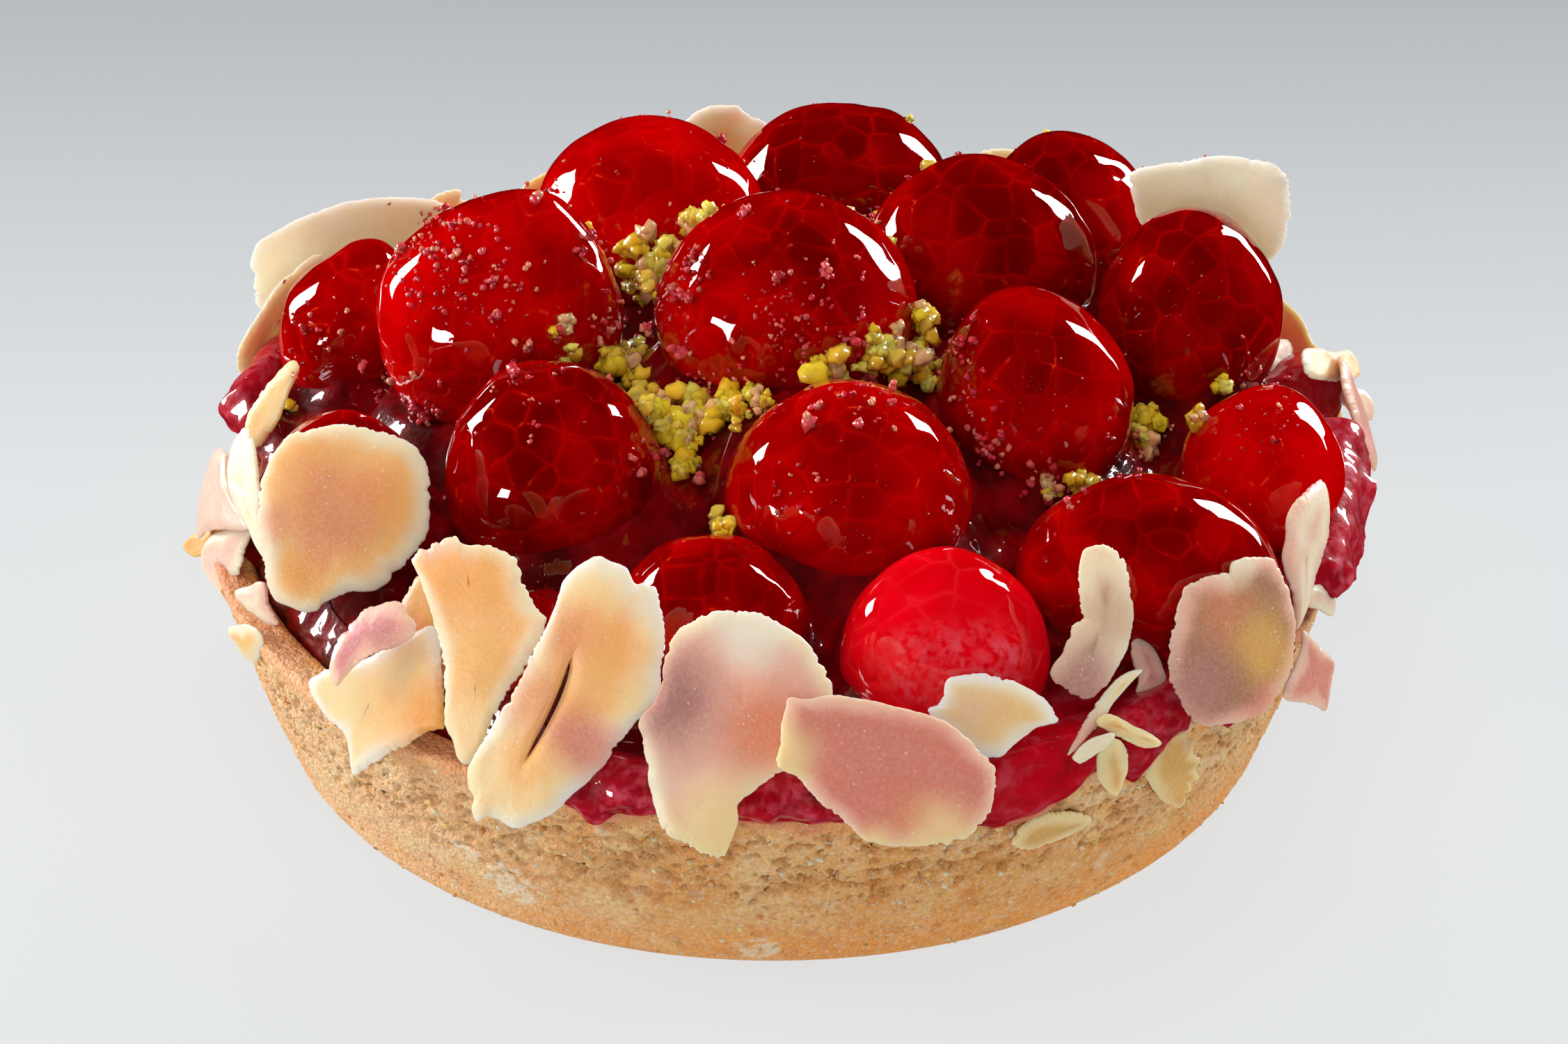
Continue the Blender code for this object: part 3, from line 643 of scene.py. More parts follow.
class Paint:
    """Builds one Principled material from typed calls."""

    def __init__(self, name: str) -> None:
        """Starts a material.

        Args:
            name: Name of the material.
        """
        self.material = bpy.data.materials.new(name)
        self.material.use_nodes = True
        self.tree = self.material.node_tree
        self.shader = self.tree.nodes["Principled BSDF"]

    def node(
        self, kind: str, settings: dict[str, object], sockets: dict[str | int, object], output: str | int = 0
    ) -> Signal:
        """Adds a node, applies its settings first, then fills or links its sockets.

        Args:
            kind: Node type.
            settings: Properties of the node; stops are a ramp's places and colours.
            sockets: Values or signals by socket name or number.
            output: Name or number of the output that is wanted.

        Returns:
            That output.
        """
        made = self.tree.nodes.new(kind)
        for key, value in settings.items():
            if key == "stops":
                self._fill_ramp(made.color_ramp, value)
            else:
                setattr(made, key, value)
        for key, value in sockets.items():
            self._fill(made.inputs[key], value)
        return Signal(self, made.outputs[output])

    @staticmethod
    def _fill_ramp(ramp: bpy.types.ColorRamp, stops: Sequence[tuple[float, Colour]]) -> None:
        """Gives a ramp its stops.

        Args:
            ramp: The ramp.
            stops: Place and colour of each.
        """
        while len(ramp.elements) < len(stops):
            ramp.elements.new(0.5)
        for element, (place, colour) in zip(ramp.elements, stops):
            element.position = place
            element.color = (*colour, 1.0)

    def _fill(self, socket: bpy.types.NodeSocket, value: object) -> None:
        """Links a signal to a socket, or sets the socket's own value.

        Args:
            socket: The socket.
            value: Signal, number, vector or colour.
        """
        if isinstance(value, Signal):
            self.tree.links.new(value.socket, socket)
        elif socket.type == "RGBA":
            socket.default_value = (*value, 1.0)
        else:
            socket.default_value = value

    def finish(self, sockets: dict[str, object]) -> bpy.types.Material:
        """Sets or links sockets of the Principled shader.

        Args:
            sockets: Values or signals by the socket's name.

        Returns:
            The material.
        """
        for name, value in sockets.items():
            self._fill(self.shader.inputs[name], value)
        return self.material

    @staticmethod
    def soft(weight: float, radius: Colour, reach: float) -> dict[str, object]:
        """Sockets for light that passes under the surface, its reach in millimetres."""
        return {"Subsurface Weight": weight, "Subsurface Radius": radius, "Subsurface Scale": reach * MM}

    def place(self) -> Signal:
        """Object coordinates in metres."""
        return self.node("ShaderNodeTexCoord", {}, {}, "Object")

    def vector(self, operation: str, first: Signal, second: object = None, scale: float = 1.0) -> Signal:
        """Vector Math node for one or two vectors, or for a vector and the factor that scales it."""
        sockets = {0: first, "Scale": scale} if second is None else {0: first, 1: second}
        return self.node("ShaderNodeVectorMath", {"operation": operation}, sockets)

    def spot(self) -> Signal:
        """Object coordinates in millimetres."""
        return self.vector("SCALE", self.place(), scale=1 / MM)

    def warped(self, size: float, strength: float) -> Signal:
        """Object coordinates in millimetres, pushed about by noise.

        Args:
            size: Size of the noise in millimetres.
            strength: How far points are pushed, in millimetres.

        Returns:
            The coordinates.
        """
        spot = self.spot()
        sockets = {"Vector": spot, "Scale": 1 / size, "Detail": 1.0}
        push = self.node("ShaderNodeTexNoise", {}, sockets, "Color")
        centred = self.vector("SUBTRACT", push, (0.5, 0.5, 0.5))
        return self.vector("ADD", spot, self.vector("SCALE", centred, scale=2 * strength))

    def noise(self, size: float, detail: float = 2.0) -> Signal:
        """Smooth noise of 0..1, its size in millimetres, with so many finer layers."""
        sockets = {"Vector": self.spot(), "Scale": 1 / size, "Detail": detail}
        return self.node("ShaderNodeTexNoise", {}, sockets)

    def cells(self, spot: Signal, size: float, feature: str = "F1", scatter: float = 1.0) -> Signal:
        """Distance in cellular noise, its size in millimetres and its seeds scattered by 0 to 1."""
        sockets = {"Vector": spot, "Scale": 1 / size, "Randomness": scatter}
        return self.node("ShaderNodeTexVoronoi", {"feature": feature}, sockets)

    def shades(self, spot: Signal, size: float, scatter: float = 1.0) -> Signal:
        """Shade of 0..1 for each cell of the same cellular noise."""
        sockets = {"Vector": spot, "Scale": 1 / size, "Randomness": scatter}
        return self.node("ShaderNodeTexVoronoi", {"feature": "F1"}, sockets, "Color").part("X")

    def attribute(self, name: str, output: str = "Fac") -> Signal:
        """Value that the mesh carries at its points."""
        return self.node("ShaderNodeAttribute", {"attribute_name": name}, {}, output)

    def mix(self, share: Signal | float, first: object, second: object) -> Signal:
        """Mix of two colours by the share of the second."""
        return self.node("ShaderNodeMix", {"data_type": "RGBA"}, {0: share, 6: first, 7: second}, 2)

    def ramp(self, value: Signal, stops: Sequence[tuple[float, Colour]]) -> Signal:
        """Colour ramp over a value of 0..1."""
        return self.node("ShaderNodeValToRGB", {"stops": stops}, {0: value})

    def bump(self, height: Signal, distance: float, strength: float = 1.0) -> dict[str, object]:
        """Normal bumped by a height of 0..1, with its relief in millimetres and the share that shows."""
        sockets = {"Height": height, "Distance": distance * MM, "Strength": strength}
        return {"Normal": self.node("ShaderNodeBump", {}, sockets)}


# Finishes


@dataclass(frozen=True)
class GlazedFruit:
    """Raspberry seen through clear red glaze: dark flesh, brighter seams round each drupelet."""

    name: str
    dark: Colour = linear(112, 0, 0)
    flesh: Colour = linear(206, 0, 2)
    seam: Colour = linear(236, 10, 4)
    painted_glint_colour: Colour = linear(255, 70, 30)
    bloom: Colour = linear(236, 104, 118)
    drupelet: float = 2.7
    scatter: float = 0.8
    seam_share: float = 0.25
    cloud: float = 0.0

    def make(self) -> bpy.types.Material:
        """Builds the material: flesh, line and halo of each seam, painted glints along it, and the cloud.

        Returns:
            The material.
        """
        paint = Paint(self.name)
        spot = paint.warped(2.4, 0.3)
        edge = paint.cells(spot, self.drupelet, "DISTANCE_TO_EDGE", self.scatter)
        shade = paint.shades(spot, self.drupelet, self.scatter)
        patch = paint.noise(5.5, 1.0).step(0.3, 0.7)
        # The tone value carries painted glow and shade as well as each berry's own tone.
        flesh = paint.mix(patch * 0.45 + shade * 0.2 + paint.attribute("tone"), self.dark, self.flesh)
        seen = 0.35 + 0.65 * paint.noise(3.0, 1.0).step(0.42, 0.64)
        line = (1 - edge.step(0.0, 0.045)) * seen * self.seam_share * 0.8
        halo = (1 - edge.step(0.0, 0.17)) * seen * self.seam_share * 0.5
        colour = paint.mix(line + halo, flesh, self.seam)
        # Painted glints: small orange-red sparks along the seams.
        glint = paint.noise(0.8, 1.0).step(0.6, 0.7) * paint.noise(4.0, 1.0).step(0.5, 0.62)
        colour = paint.mix((1 - edge.step(0.0, 0.05)) * glint * 0.5, colour, self.painted_glint_colour)
        if self.cloud:
            veil = paint.attribute("cloud") * paint.noise(0.7, 3.0).step(0.35, 0.65) * self.cloud
            colour = paint.mix(veil * (0.45 + edge.step(0.0, 0.25) * 0.55), colour, self.bloom)
        return paint.finish({
            "Base Color": colour,
            "Roughness": 0.5,
            "Specular IOR Level": 0.0,
            **paint.soft(0.35, (1.0, 0.02, 0.02), 2.5),
            "Coat Weight": 1.0,
            "Coat Roughness": 0.025,
            **paint.bump(edge.step(0.0, 0.22), 0.2, 0.4),
        })


@dataclass(frozen=True)
class RedGlaze:
    """Set glaze: deep red where it is thick, magenta where it lies thin over the pastry."""

    name: str = "red_glaze"
    deep: Colour = linear(76, 0, 2)
    lit: Colour = linear(140, 0, 8)
    pulp: Colour = linear(190, 10, 36)
    fresh: Colour = linear(196, 2, 26)
    thin: Colour = linear(214, 92, 112)

    def make(self) -> bpy.types.Material:
        """Builds the material: body, pulp at the rim, fresh runs, and a paler film on both; on the fresh
        runs the film is partly painted sheen.

        Returns:
            The material.
        """
        paint = Paint(self.name)
        body = paint.mix(paint.noise(3.5, 3.0).step(0.35, 0.7), self.deep, self.lit)
        body = paint.mix(paint.attribute("thin"), body, self.pulp)
        body = paint.mix(paint.attribute("fresh") * paint.noise(2.2, 2.0).step(0.1, 0.5), body, self.fresh)
        film = paint.attribute("thin") * paint.noise(0.9, 3.0).step(0.42, 0.7) * 0.75
        # On the fresh runs the paler streaks are partly a magenta smear and partly painted sheen in place of
        # highlights.
        film = film + paint.attribute("fresh") * paint.noise(2.2, 5.0).step(0.5, 0.72) * 0.45
        return paint.finish({
            "Base Color": paint.mix(film, body, self.thin),
            "Roughness": 0.45,
            "Specular IOR Level": 0.05,
            **paint.soft(0.3, (1.0, 0.06, 0.06), 2.0),
            "Coat Weight": 1.0 - paint.attribute("thin") * 0.35,
            "Coat Roughness": 0.05,
            **paint.bump(paint.noise(0.8, 3.0), 0.16, 0.8),
        })


@dataclass(frozen=True)
class Shortcrust:
    """Baked shortcrust: pale crumb, golden skin, browner at the foot and rim, floury patches."""

    name: str = "shortcrust"
    crumb: Colour = linear(250, 206, 140)
    golden: Colour = linear(240, 168, 88)
    brown: Colour = linear(208, 116, 56)
    foot: Colour = linear(255, 168, 78)
    # Pore shade and pit colours are painted shade in hollows; the speck colour is partly a painted
    # highlight.
    pore_shade: Colour = linear(194, 114, 58)
    pit: Colour = linear(204, 132, 54)
    speck_and_highlight: Colour = linear(240, 224, 200)
    flour: Colour = linear(250, 226, 192)
    juice: Colour = linear(216, 122, 100)
    grain: float = 0.3

    def make(self) -> bpy.types.Material:
        """Builds the material: slow patches, baked foot, specks that are partly painted highlights, pores
        painted as shade, then what the mesh carries, with its pits painted as shade.

        Returns:
            The material.
        """
        paint = Paint(self.name)
        colour = paint.mix(paint.noise(5.0, 3.0).step(0.3, 0.7), self.crumb, self.golden)
        colour = paint.mix(paint.noise(15.0, 2.0).step(0.42, 0.65) * 0.4, colour, self.golden)
        baked = paint.attribute("bake") * paint.noise(3.0, 3.0).step(0.1, 0.55)
        colour = paint.mix(baked, colour, self.foot)
        colour = paint.mix(paint.noise(1.9, 4.0).step(0.5, 0.72) * 0.34, colour, self.brown)
        spot = paint.warped(0.6, 0.15)
        grains = paint.cells(spot, self.grain)
        each = paint.shades(spot, self.grain)
        # Lighter grains at random: partly the crumb's own grain colour, partly painted highlights.
        colour = paint.mix(each.step(0.6, 1.0) * 0.3, colour, self.speck_and_highlight)
        colour = paint.mix(each.step(0.4, 0.0) * 0.22, colour, self.brown)
        # Painted shade: darker between the grains and in small holes.
        painted_pore_shade = grains.step(0.45, 0.8) * 0.15 + paint.noise(0.7, 3.0).step(0.58, 0.74) * 0.36
        colour = paint.mix(painted_pore_shade, colour, self.pore_shade)
        # Painted shade in the pits pressed into the wall.
        colour = paint.mix(paint.attribute("pit") * 0.75, colour, self.pit)
        for name, tint in (("juice", self.juice), ("flour", self.flour)):
            colour = paint.mix(paint.attribute(name), colour, tint)
        return paint.finish({
            "Base Color": colour,
            "Roughness": 0.72,
            "Specular IOR Level": 0.35,
            **paint.soft(0.12, (1.0, 0.5, 0.25), 1.0),
            **paint.bump(paint.noise(0.45, 4.0) * 0.9 - grains * 0.5, 0.34),
        })


@dataclass(frozen=True)
class AlmondSlice:
    """Sliced almond in the colours that each slice carries, finely grained and lightly dusted."""

    name: str = "toasted_almond"
    grain: Colour = linear(246, 226, 196)
    toast: Colour = linear(176, 112, 76)
    dust: Colour = linear(250, 240, 226)

    def make(self) -> bpy.types.Material:
        """Builds the material.

        Returns:
            The material.
        """
        paint = Paint(self.name)
        tint = paint.attribute("tint", "Color")
        grain = paint.noise(0.28, 2.0)
        colour = paint.mix(grain.step(0.3, 0.8) * 0.16, tint, self.grain)
        colour = paint.mix(paint.noise(1.8, 3.0).step(0.45, 0.8) * 0.1, colour, self.toast)
        dust = paint.noise(0.22, 0.0).step(0.77, 0.81) * paint.noise(3.5, 1.0).step(0.45, 0.6)
        return paint.finish({
            "Base Color": paint.mix(dust * 0.55, colour, self.dust),
            "Roughness": 0.45,
            "Specular IOR Level": 0.3,
            **paint.soft(0.9, (1.0, 0.7, 0.45), 1.3),
            **paint.bump(grain, 0.05, 0.8),
        })


@dataclass(frozen=True)
class Crumb:
    """Wet crumb in the colour that each crumb carries."""

    name: str
    roughness: float
    coat: float
    dust: float
    dust_colour: Colour = linear(232, 196, 130)

    def make(self) -> bpy.types.Material:
        """Builds the material.

        Returns:
            The material.
        """
        paint = Paint(self.name)
        tint = paint.attribute("tint", "Color")
        dust = paint.noise(0.4, 2.0).step(0.4, 0.8) * self.dust
        return paint.finish({
            "Base Color": paint.mix(dust, tint, self.dust_colour),
            "Roughness": self.roughness,
            **paint.soft(0.5, (1.0, 0.7, 0.3), 0.8),
            "Coat Weight": self.coat,
            "Coat Roughness": 0.12,
            **paint.bump(paint.noise(0.25, 2.0), 0.06, 0.7),
        })


# Pastry case


def around(radius: np.ndarray | float, turn: np.ndarray, height: np.ndarray | float) -> np.ndarray:
    """Points round the axis: radius cos(turn), radius sin(turn) and height."""
    return coords(radius * np.cos(turn), radius * np.sin(turn), height)


@dataclass
class PastryCase:
    """Shortcrust cup with a crumbly outer wall."""

    rim_radius: float = 44.0
    floor_radius: float = 38.4
    height: float = 17.0
    rim_wall: float = 3.1
    foot_wall: float = 4.6
    floor_thickness: float = 4.0
    foot_fillet: float = 2.0
    rim_round: float = 0.8
    wall_bulge: float = 0.5
    hub: float = 3.0
    segments: int = 900
    wall_step: float = 0.25
    swell: float = 0.22
    crumb: float = 0.26
    crumb_size: float = 1.15
    grain: float = 0.16
    grain_size: float = 0.6
    hollow: float = 0.55
    fine: float = 0.08
    pale_side: tuple[float, float] = (222, 26)
    floury_side: tuple[float, float] = (315, 20)
    floury: tuple[tuple[float, float, float], ...] = (
        (241.0, 5.1, 2.0), (268.0, 1.7, 1.4), (236.0, 7.4, 0.9),
    )

    def outer(self, height: np.ndarray | float) -> np.ndarray:
        """Outer radius: a cone with a slight bulge, floor + (rim - floor)t + bulge sin(pi t)."""
        part, flare = np.asarray(height) / self.height, self.rim_radius - self.floor_radius
        return self.floor_radius + flare * part + self.wall_bulge * np.sin(np.pi * part)

    def inner(self, height: np.ndarray | float) -> np.ndarray:
        """Inner radius: the outer one less a wall that thins towards the rim."""
        part = (np.asarray(height) - self.floor_thickness) / (self.height - self.floor_thickness)
        return self.outer(height) - self.foot_wall - (self.rim_wall - self.foot_wall) * part

    @staticmethod
    def _arc(radius: float, height: float, size: float, start: float, end: float, count: int) -> np.ndarray:
        """Arc of a half section, size about its middle at radius and height, between angles in degrees."""
        turn = np.radians(np.linspace(start, end, count))
        return coords(radius + size * np.cos(turn), height + size * np.sin(turn))

    def section(self) -> np.ndarray:
        """Half section from the middle of the base, up the outer wall, over the rim and in to the middle.

        Returns:
            Radius and height of each point.
        """
        foot = self.outer(self.foot_fillet) - self.foot_fillet
        shoulder = self.height - self.rim_round
        corner = self.outer(shoulder) - self.rim_round
        back = self.inner(shoulder) + self.rim_round
        rise = np.arange(self.foot_fillet + self.wall_step, shoulder, self.wall_step)
        fall = np.linspace(shoulder - 1.0, self.floor_thickness, 9)
        runs = [
            coords(np.linspace(self.hub, foot, 14), 0.0),
            self._arc(foot, self.foot_fillet, self.foot_fillet, -90, 0, 10)[1:],
            coords(self.outer(rise), rise),
            self._arc(corner, shoulder, self.rim_round, 0, 90, 6),
            coords(np.linspace(corner, back, 7)[1:-1], self.height),
            self._arc(back, shoulder, self.rim_round, 90, 180, 4),
            coords(self.inner(fall), fall),
            coords(np.linspace(self.inner(self.floor_thickness), self.hub, 8)[1:], self.floor_thickness),
        ]
        return np.vstack(runs)

    def skin(self) -> Skin:
        """Turns the section and presses crumbs, pits and cracks into its outer side.

        Depth is swell + crumb + grain + hollow + fine: slow noise, distance to the middles of large and
        small crumbs, layered noise past a threshold with noise close to zero, and quick noise.

        Returns:
            The surface with its pit, bake, flour and juice values; the pit value carries painted shade in
            the pits.
        """
        section = self.section()
        radius, height = section[:, :1], section[:, 1:]
        turn = np.linspace(0, 2 * np.pi, self.segments, endpoint=False)
        points = around(radius, turn, height)
        along = np.gradient(section, axis=0)
        normal = unit(coords(along[:, 1], -along[:, 0]))
        outside = smooth_step(radius - self.inner(height), 0.3, 1.2)
        body = outside * smooth_step(height, 0.02, 1.2) * (radius > self.floor_radius - 2)
        top = smooth_step(height, 15.6, 16.9) * smooth_step(radius, 39.5, 41.5)
        band = smooth_step(height, 5.0, 9.0) * (1 - smooth_step(height, 13.5, 16.0))
        swell = 0.5 + 0.5 * NOISE.smooth(points, 9.0)
        large = NOISE.cells(points, self.crumb_size)
        small = NOISE.cells(points + 5.0, self.grain_size)
        fine = NOISE.layered(points, 0.9, 2)
        holes = smooth_step(NOISE.layered(points, 1.3, 3, 1.8), 0.16, 0.3)
        bands = NOISE.layered(points * np.array([0.6, 0.6, 2.2]), 5.0, 2)
        crack = smooth_step(1 - 6 * np.abs(bands), 0.1, 1.0)
        pit = holes * (0.08 + 0.92 * band) + 0.8 * crack * band * smooth_step(swell, 0.3, 0.7)
        rough = np.maximum(0.35 + 0.65 * band, top)
        depth = self.swell * swell + (self.crumb * large + self.grain * small) * rough
        push = -(depth + self.hollow * pit + self.fine * fine) * np.maximum(body, top)
        points += around(push * normal[:, :1], turn, push * normal[:, 1:])
        skin = Skin.lofted(points, np.zeros(3), np.array([0.0, 0.0, self.floor_thickness]))
        azimuth = np.degrees(turn)
        pale = bells(azimuth, [self.pale_side])
        flour = smooth_step(NOISE.layered(points + 31.0, 2.4, 3), 0.42, 0.6) * 0.45
        film = smooth_step(NOISE.layered(points * np.array([1.0, 1.0, 3.0]) + 80.0, 5.0, 4), -0.2, 0.4)
        veil = bells(azimuth, [self.floury_side]) * smooth_step(height, 6.0, 12.0)
        flour = np.maximum(flour, 0.5 * veil * film)
        for angle, level, size in self.floury:
            away = np.hypot(np.radians(azimuth - angle) * self.floor_radius * 0.7, height - level) / size
            flour = np.maximum(flour, 0.75 * (1 - smooth_step(away + 1.1 * fine + 0.5 * holes, 0.5, 0.9)))
        uneven = height + 3.6 * NOISE.layered(points, 4.0, 3)
        juice = smooth_step(uneven, 14.2, 17.2) * 0.7 * (1 - 0.85 * pale)
        foot = 0.9 * (1 - smooth_step(height, 1.5, 6.0)) * (1 - 0.3 * pale)
        rim = (0.6 + 0.4 * pale) * smooth_step(height, 13.0, 16.5)
        skin.values = {
            # The pit value drives painted shade in the pits, weaker on the pale side.
            "pit": self._with_ends(np.clip(pit, 0, 1) * body * (1 - 0.6 * pale)),
            "bake": self._with_ends(np.clip(foot + rim, 0, 1)),
            "flour": self._with_ends(np.clip(flour + 0.22 * pale, 0, 1) * body),
            "juice": self._with_ends(juice * body),
        }
        return skin

    @staticmethod
    def _with_ends(value: np.ndarray) -> np.ndarray:
        """Flattens a value of the rings and repeats its ends for the two closing points."""
        return np.concatenate([value.ravel(), [value[0, 0], value[-1, 0]]])

    def make(self) -> Skin:
        """Adds the case.

        Returns:
            Its surface.
        """
        skin = self.skin()
        add_piece("pastry_case_surface", skin, Shortcrust().make(), ["pastry_case"])
        return skin


# Raspberries


@dataclass(frozen=True)
class Berry:
    """One raspberry: middle, half sizes and the way its tip leans to the right."""

    name: str
    middle: tuple[float, float, float]
    half: tuple[float, float, float]
    lean: float = 0.0
    tone: float = 0.1
    point: float = 0.0
    flat: float = 0.0
    finish: str = "fruit"


BERRIES = (
    Berry("berry_left_front", (-32.6, -11.6, 23.0), (7.0, 8.0, 8.0), 5, 0.0),
    Berry("berry_left_back", (-33.6, 15.4, 23.8), (5.5, 6.5, 7.8), 22, point=0.15),
    Berry("berry_left_upper", (-21.0, 5.8, 30.2), (9.8, 9.0, 11.4), 19, 0.4, point=0.3),
    Berry("berry_left_lower", (-16.7, -11.4, 26.0), (8.6, 8.6, 9.4), -14, -0.08),
    Berry("berry_back_left", (-9.7, 22.1, 29.6), (9.5, 8.7, 9.0), 6, 0.4, flat=0.1),
    Berry("berry_top", (0.9, 3.2, 31.9), (10.4, 9.5, 9.8), -4),
    Berry("berry_middle", (5.5, -14.7, 26.0), (9.8, 9.1, 9.4), 2, 0.24),
    Berry("berry_front_left", (-4.8, -28.4, 23.1), (7.5, 7.4, 7.6), -12, 0.0),
    Berry("berry_front", (12.4, -31.5, 22.8), (8.0, 7.4, 8.6), 0, finish="bare"),
    Berry("berry_right_middle", (19.8, -3.0, 27.5), (7.8, 8.6, 9.4), -10),
    Berry("berry_back_middle", (15.9, 15.3, 29.0), (9.7, 8.2, 9.4), -7, -0.1),
    Berry("berry_back_upper", (5.0, 32.4, 25.8), (9.5, 7.8, 8.9), -9, -0.1, flat=0.1),
    Berry("berry_back_right", (23.7, 28.6, 25.1), (7.4, 7.0, 8.6), -14, -0.1),
    Berry("berry_right_upper", (32.3, 9.3, 27.8), (7.5, 8.2, 9.4), 3, -0.1),
    Berry("berry_right", (37.0, -7.8, 23.9), (6.5, 7.3, 7.1), 8, 0.7),
    Berry("berry_right_front", (27.6, -22.6, 24.2), (10.1, 7.5, 7.9), 3, 0.0),
    Berry("berry_under_front", (-19.0, -27.5, 18.6), (6.6, 6.4, 6.6)),
    Berry("berry_under_left", (-22.8, 26.3, 20.7), (6.6, 6.4, 6.6)),
    Berry("berry_under_back", (-10.0, 35.7, 22.2), (6.0, 5.6, 6.0)),
)


@dataclass
class Raspberries:
    """All raspberries, each an egg under a smooth, slightly uneven coat of glaze."""

    berries: tuple[Berry, ...] = BERRIES
    taper: float = 0.13
    rings: int = 84
    segments: int = 150
    lump: float = 0.42
    lump_size: float = 4.8
    ripple: float = 0.25
    ripple_size: float = 2.1
    cloud_middle: tuple[float, float, float] = (1.0, -6.0, 2.6)
    cloud_half: tuple[float, float, float] = (7.0, 5.0, 3.6)

    def skin(self, berry: Berry) -> Skin:
        """Egg of one berry: a sphere stretched to its half sizes and narrowed above by 1 - taper z^1.5.

        Its surface is lowered by slow and quick noise, and its top drawn to a point or flattened.

        Args:
            berry: The berry.

        Returns:
            The surface with its cloud value, and its tone with painted glow and shade.
        """
        fall = np.linspace(0, np.pi, self.rings + 2)[1:-1, None]
        turn = np.linspace(0, 2 * np.pi, self.segments, endpoint=False)
        ball = around(np.sin(fall), turn, np.cos(fall))
        ends = np.array([[0.0, 0.0, 1.0], [0.0, 0.0, -1.0]])
        skin = Skin.lofted(*(self._shaped(berry, part) for part in (ball, ends[:1], ends[1:])))
        middle = np.array(berry.middle)
        away = np.linalg.norm((skin.points - (middle + self.cloud_middle)) / self.cloud_half, axis=1)
        side = (skin.points - middle) / berry.half
        # Painted glow brightens the lower left of each berry, where light passes through, and painted shade
        # darkens its top.
        painted_glow_and_shade = smooth_step(-0.8 * side[:, 0] - 0.55 * side[:, 2], 0.35, 0.95)
        painted_glow_and_shade = painted_glow_and_shade - 0.5 * smooth_step(side[:, 2], 0.3, 0.9)
        skin.values = {"cloud": 1 - smooth_step(away, 0.5, 1.15), "tone": berry.tone + 0.3 * painted_glow_and_shade}
        return skin

    def _shaped(self, berry: Berry, ball: np.ndarray) -> np.ndarray:
        """Shapes one berry.

        Args:
            berry: The berry.
            ball: Directions on the unit sphere.

        Returns:
            Its points in those directions.
        """
        up = np.maximum(0.0, ball[..., 2])
        narrow = 1 - self.taper * up**1.5 - berry.point * up**2
        shaped = ball * berry.half * coords(narrow, narrow, 1 - berry.flat * up**3)
        spot = shaped + np.array(berry.middle) * 3.1
        lowered = self.lump * (0.5 + 0.5 * NOISE.smooth(spot, self.lump_size))
        uneven = 0.3 + 0.7 * smooth_step(NOISE.smooth(spot + 90.0, 6.0), -0.1, 0.6)
        lowered = lowered + self.ripple * uneven * (0.5 + 0.5 * NOISE.smooth(spot, self.ripple_size))
        x, y, z = np.moveaxis(shaped - unit(ball) * lowered[..., None], -1, 0)
        lean = math.radians(berry.lean)
        cosine, sine = math.cos(lean), math.sin(lean)
        return coords(x * cosine + z * sine, y, z * cosine - x * sine) + berry.middle

    def make(self) -> list[Skin]:
        """Adds every berry.

        Returns:
            Their surfaces.
        """
        fruit = GlazedFruit("glazed_raspberry")
        bare = GlazedFruit(
            "bare_raspberry", linear(214, 0, 8), linear(244, 4, 30), linear(250, 50, 56),
            seam_share=0.22, cloud=0.5,
        )
        finishes = {"fruit": fruit.make(), "bare": bare.make()}
        skins = [self.skin(berry) for berry in self.berries]
        for berry, skin in zip(self.berries, skins):
            add_piece(berry.name + "_fruit", skin, finishes[berry.finish], [berry.name])
        return skins


# Glaze


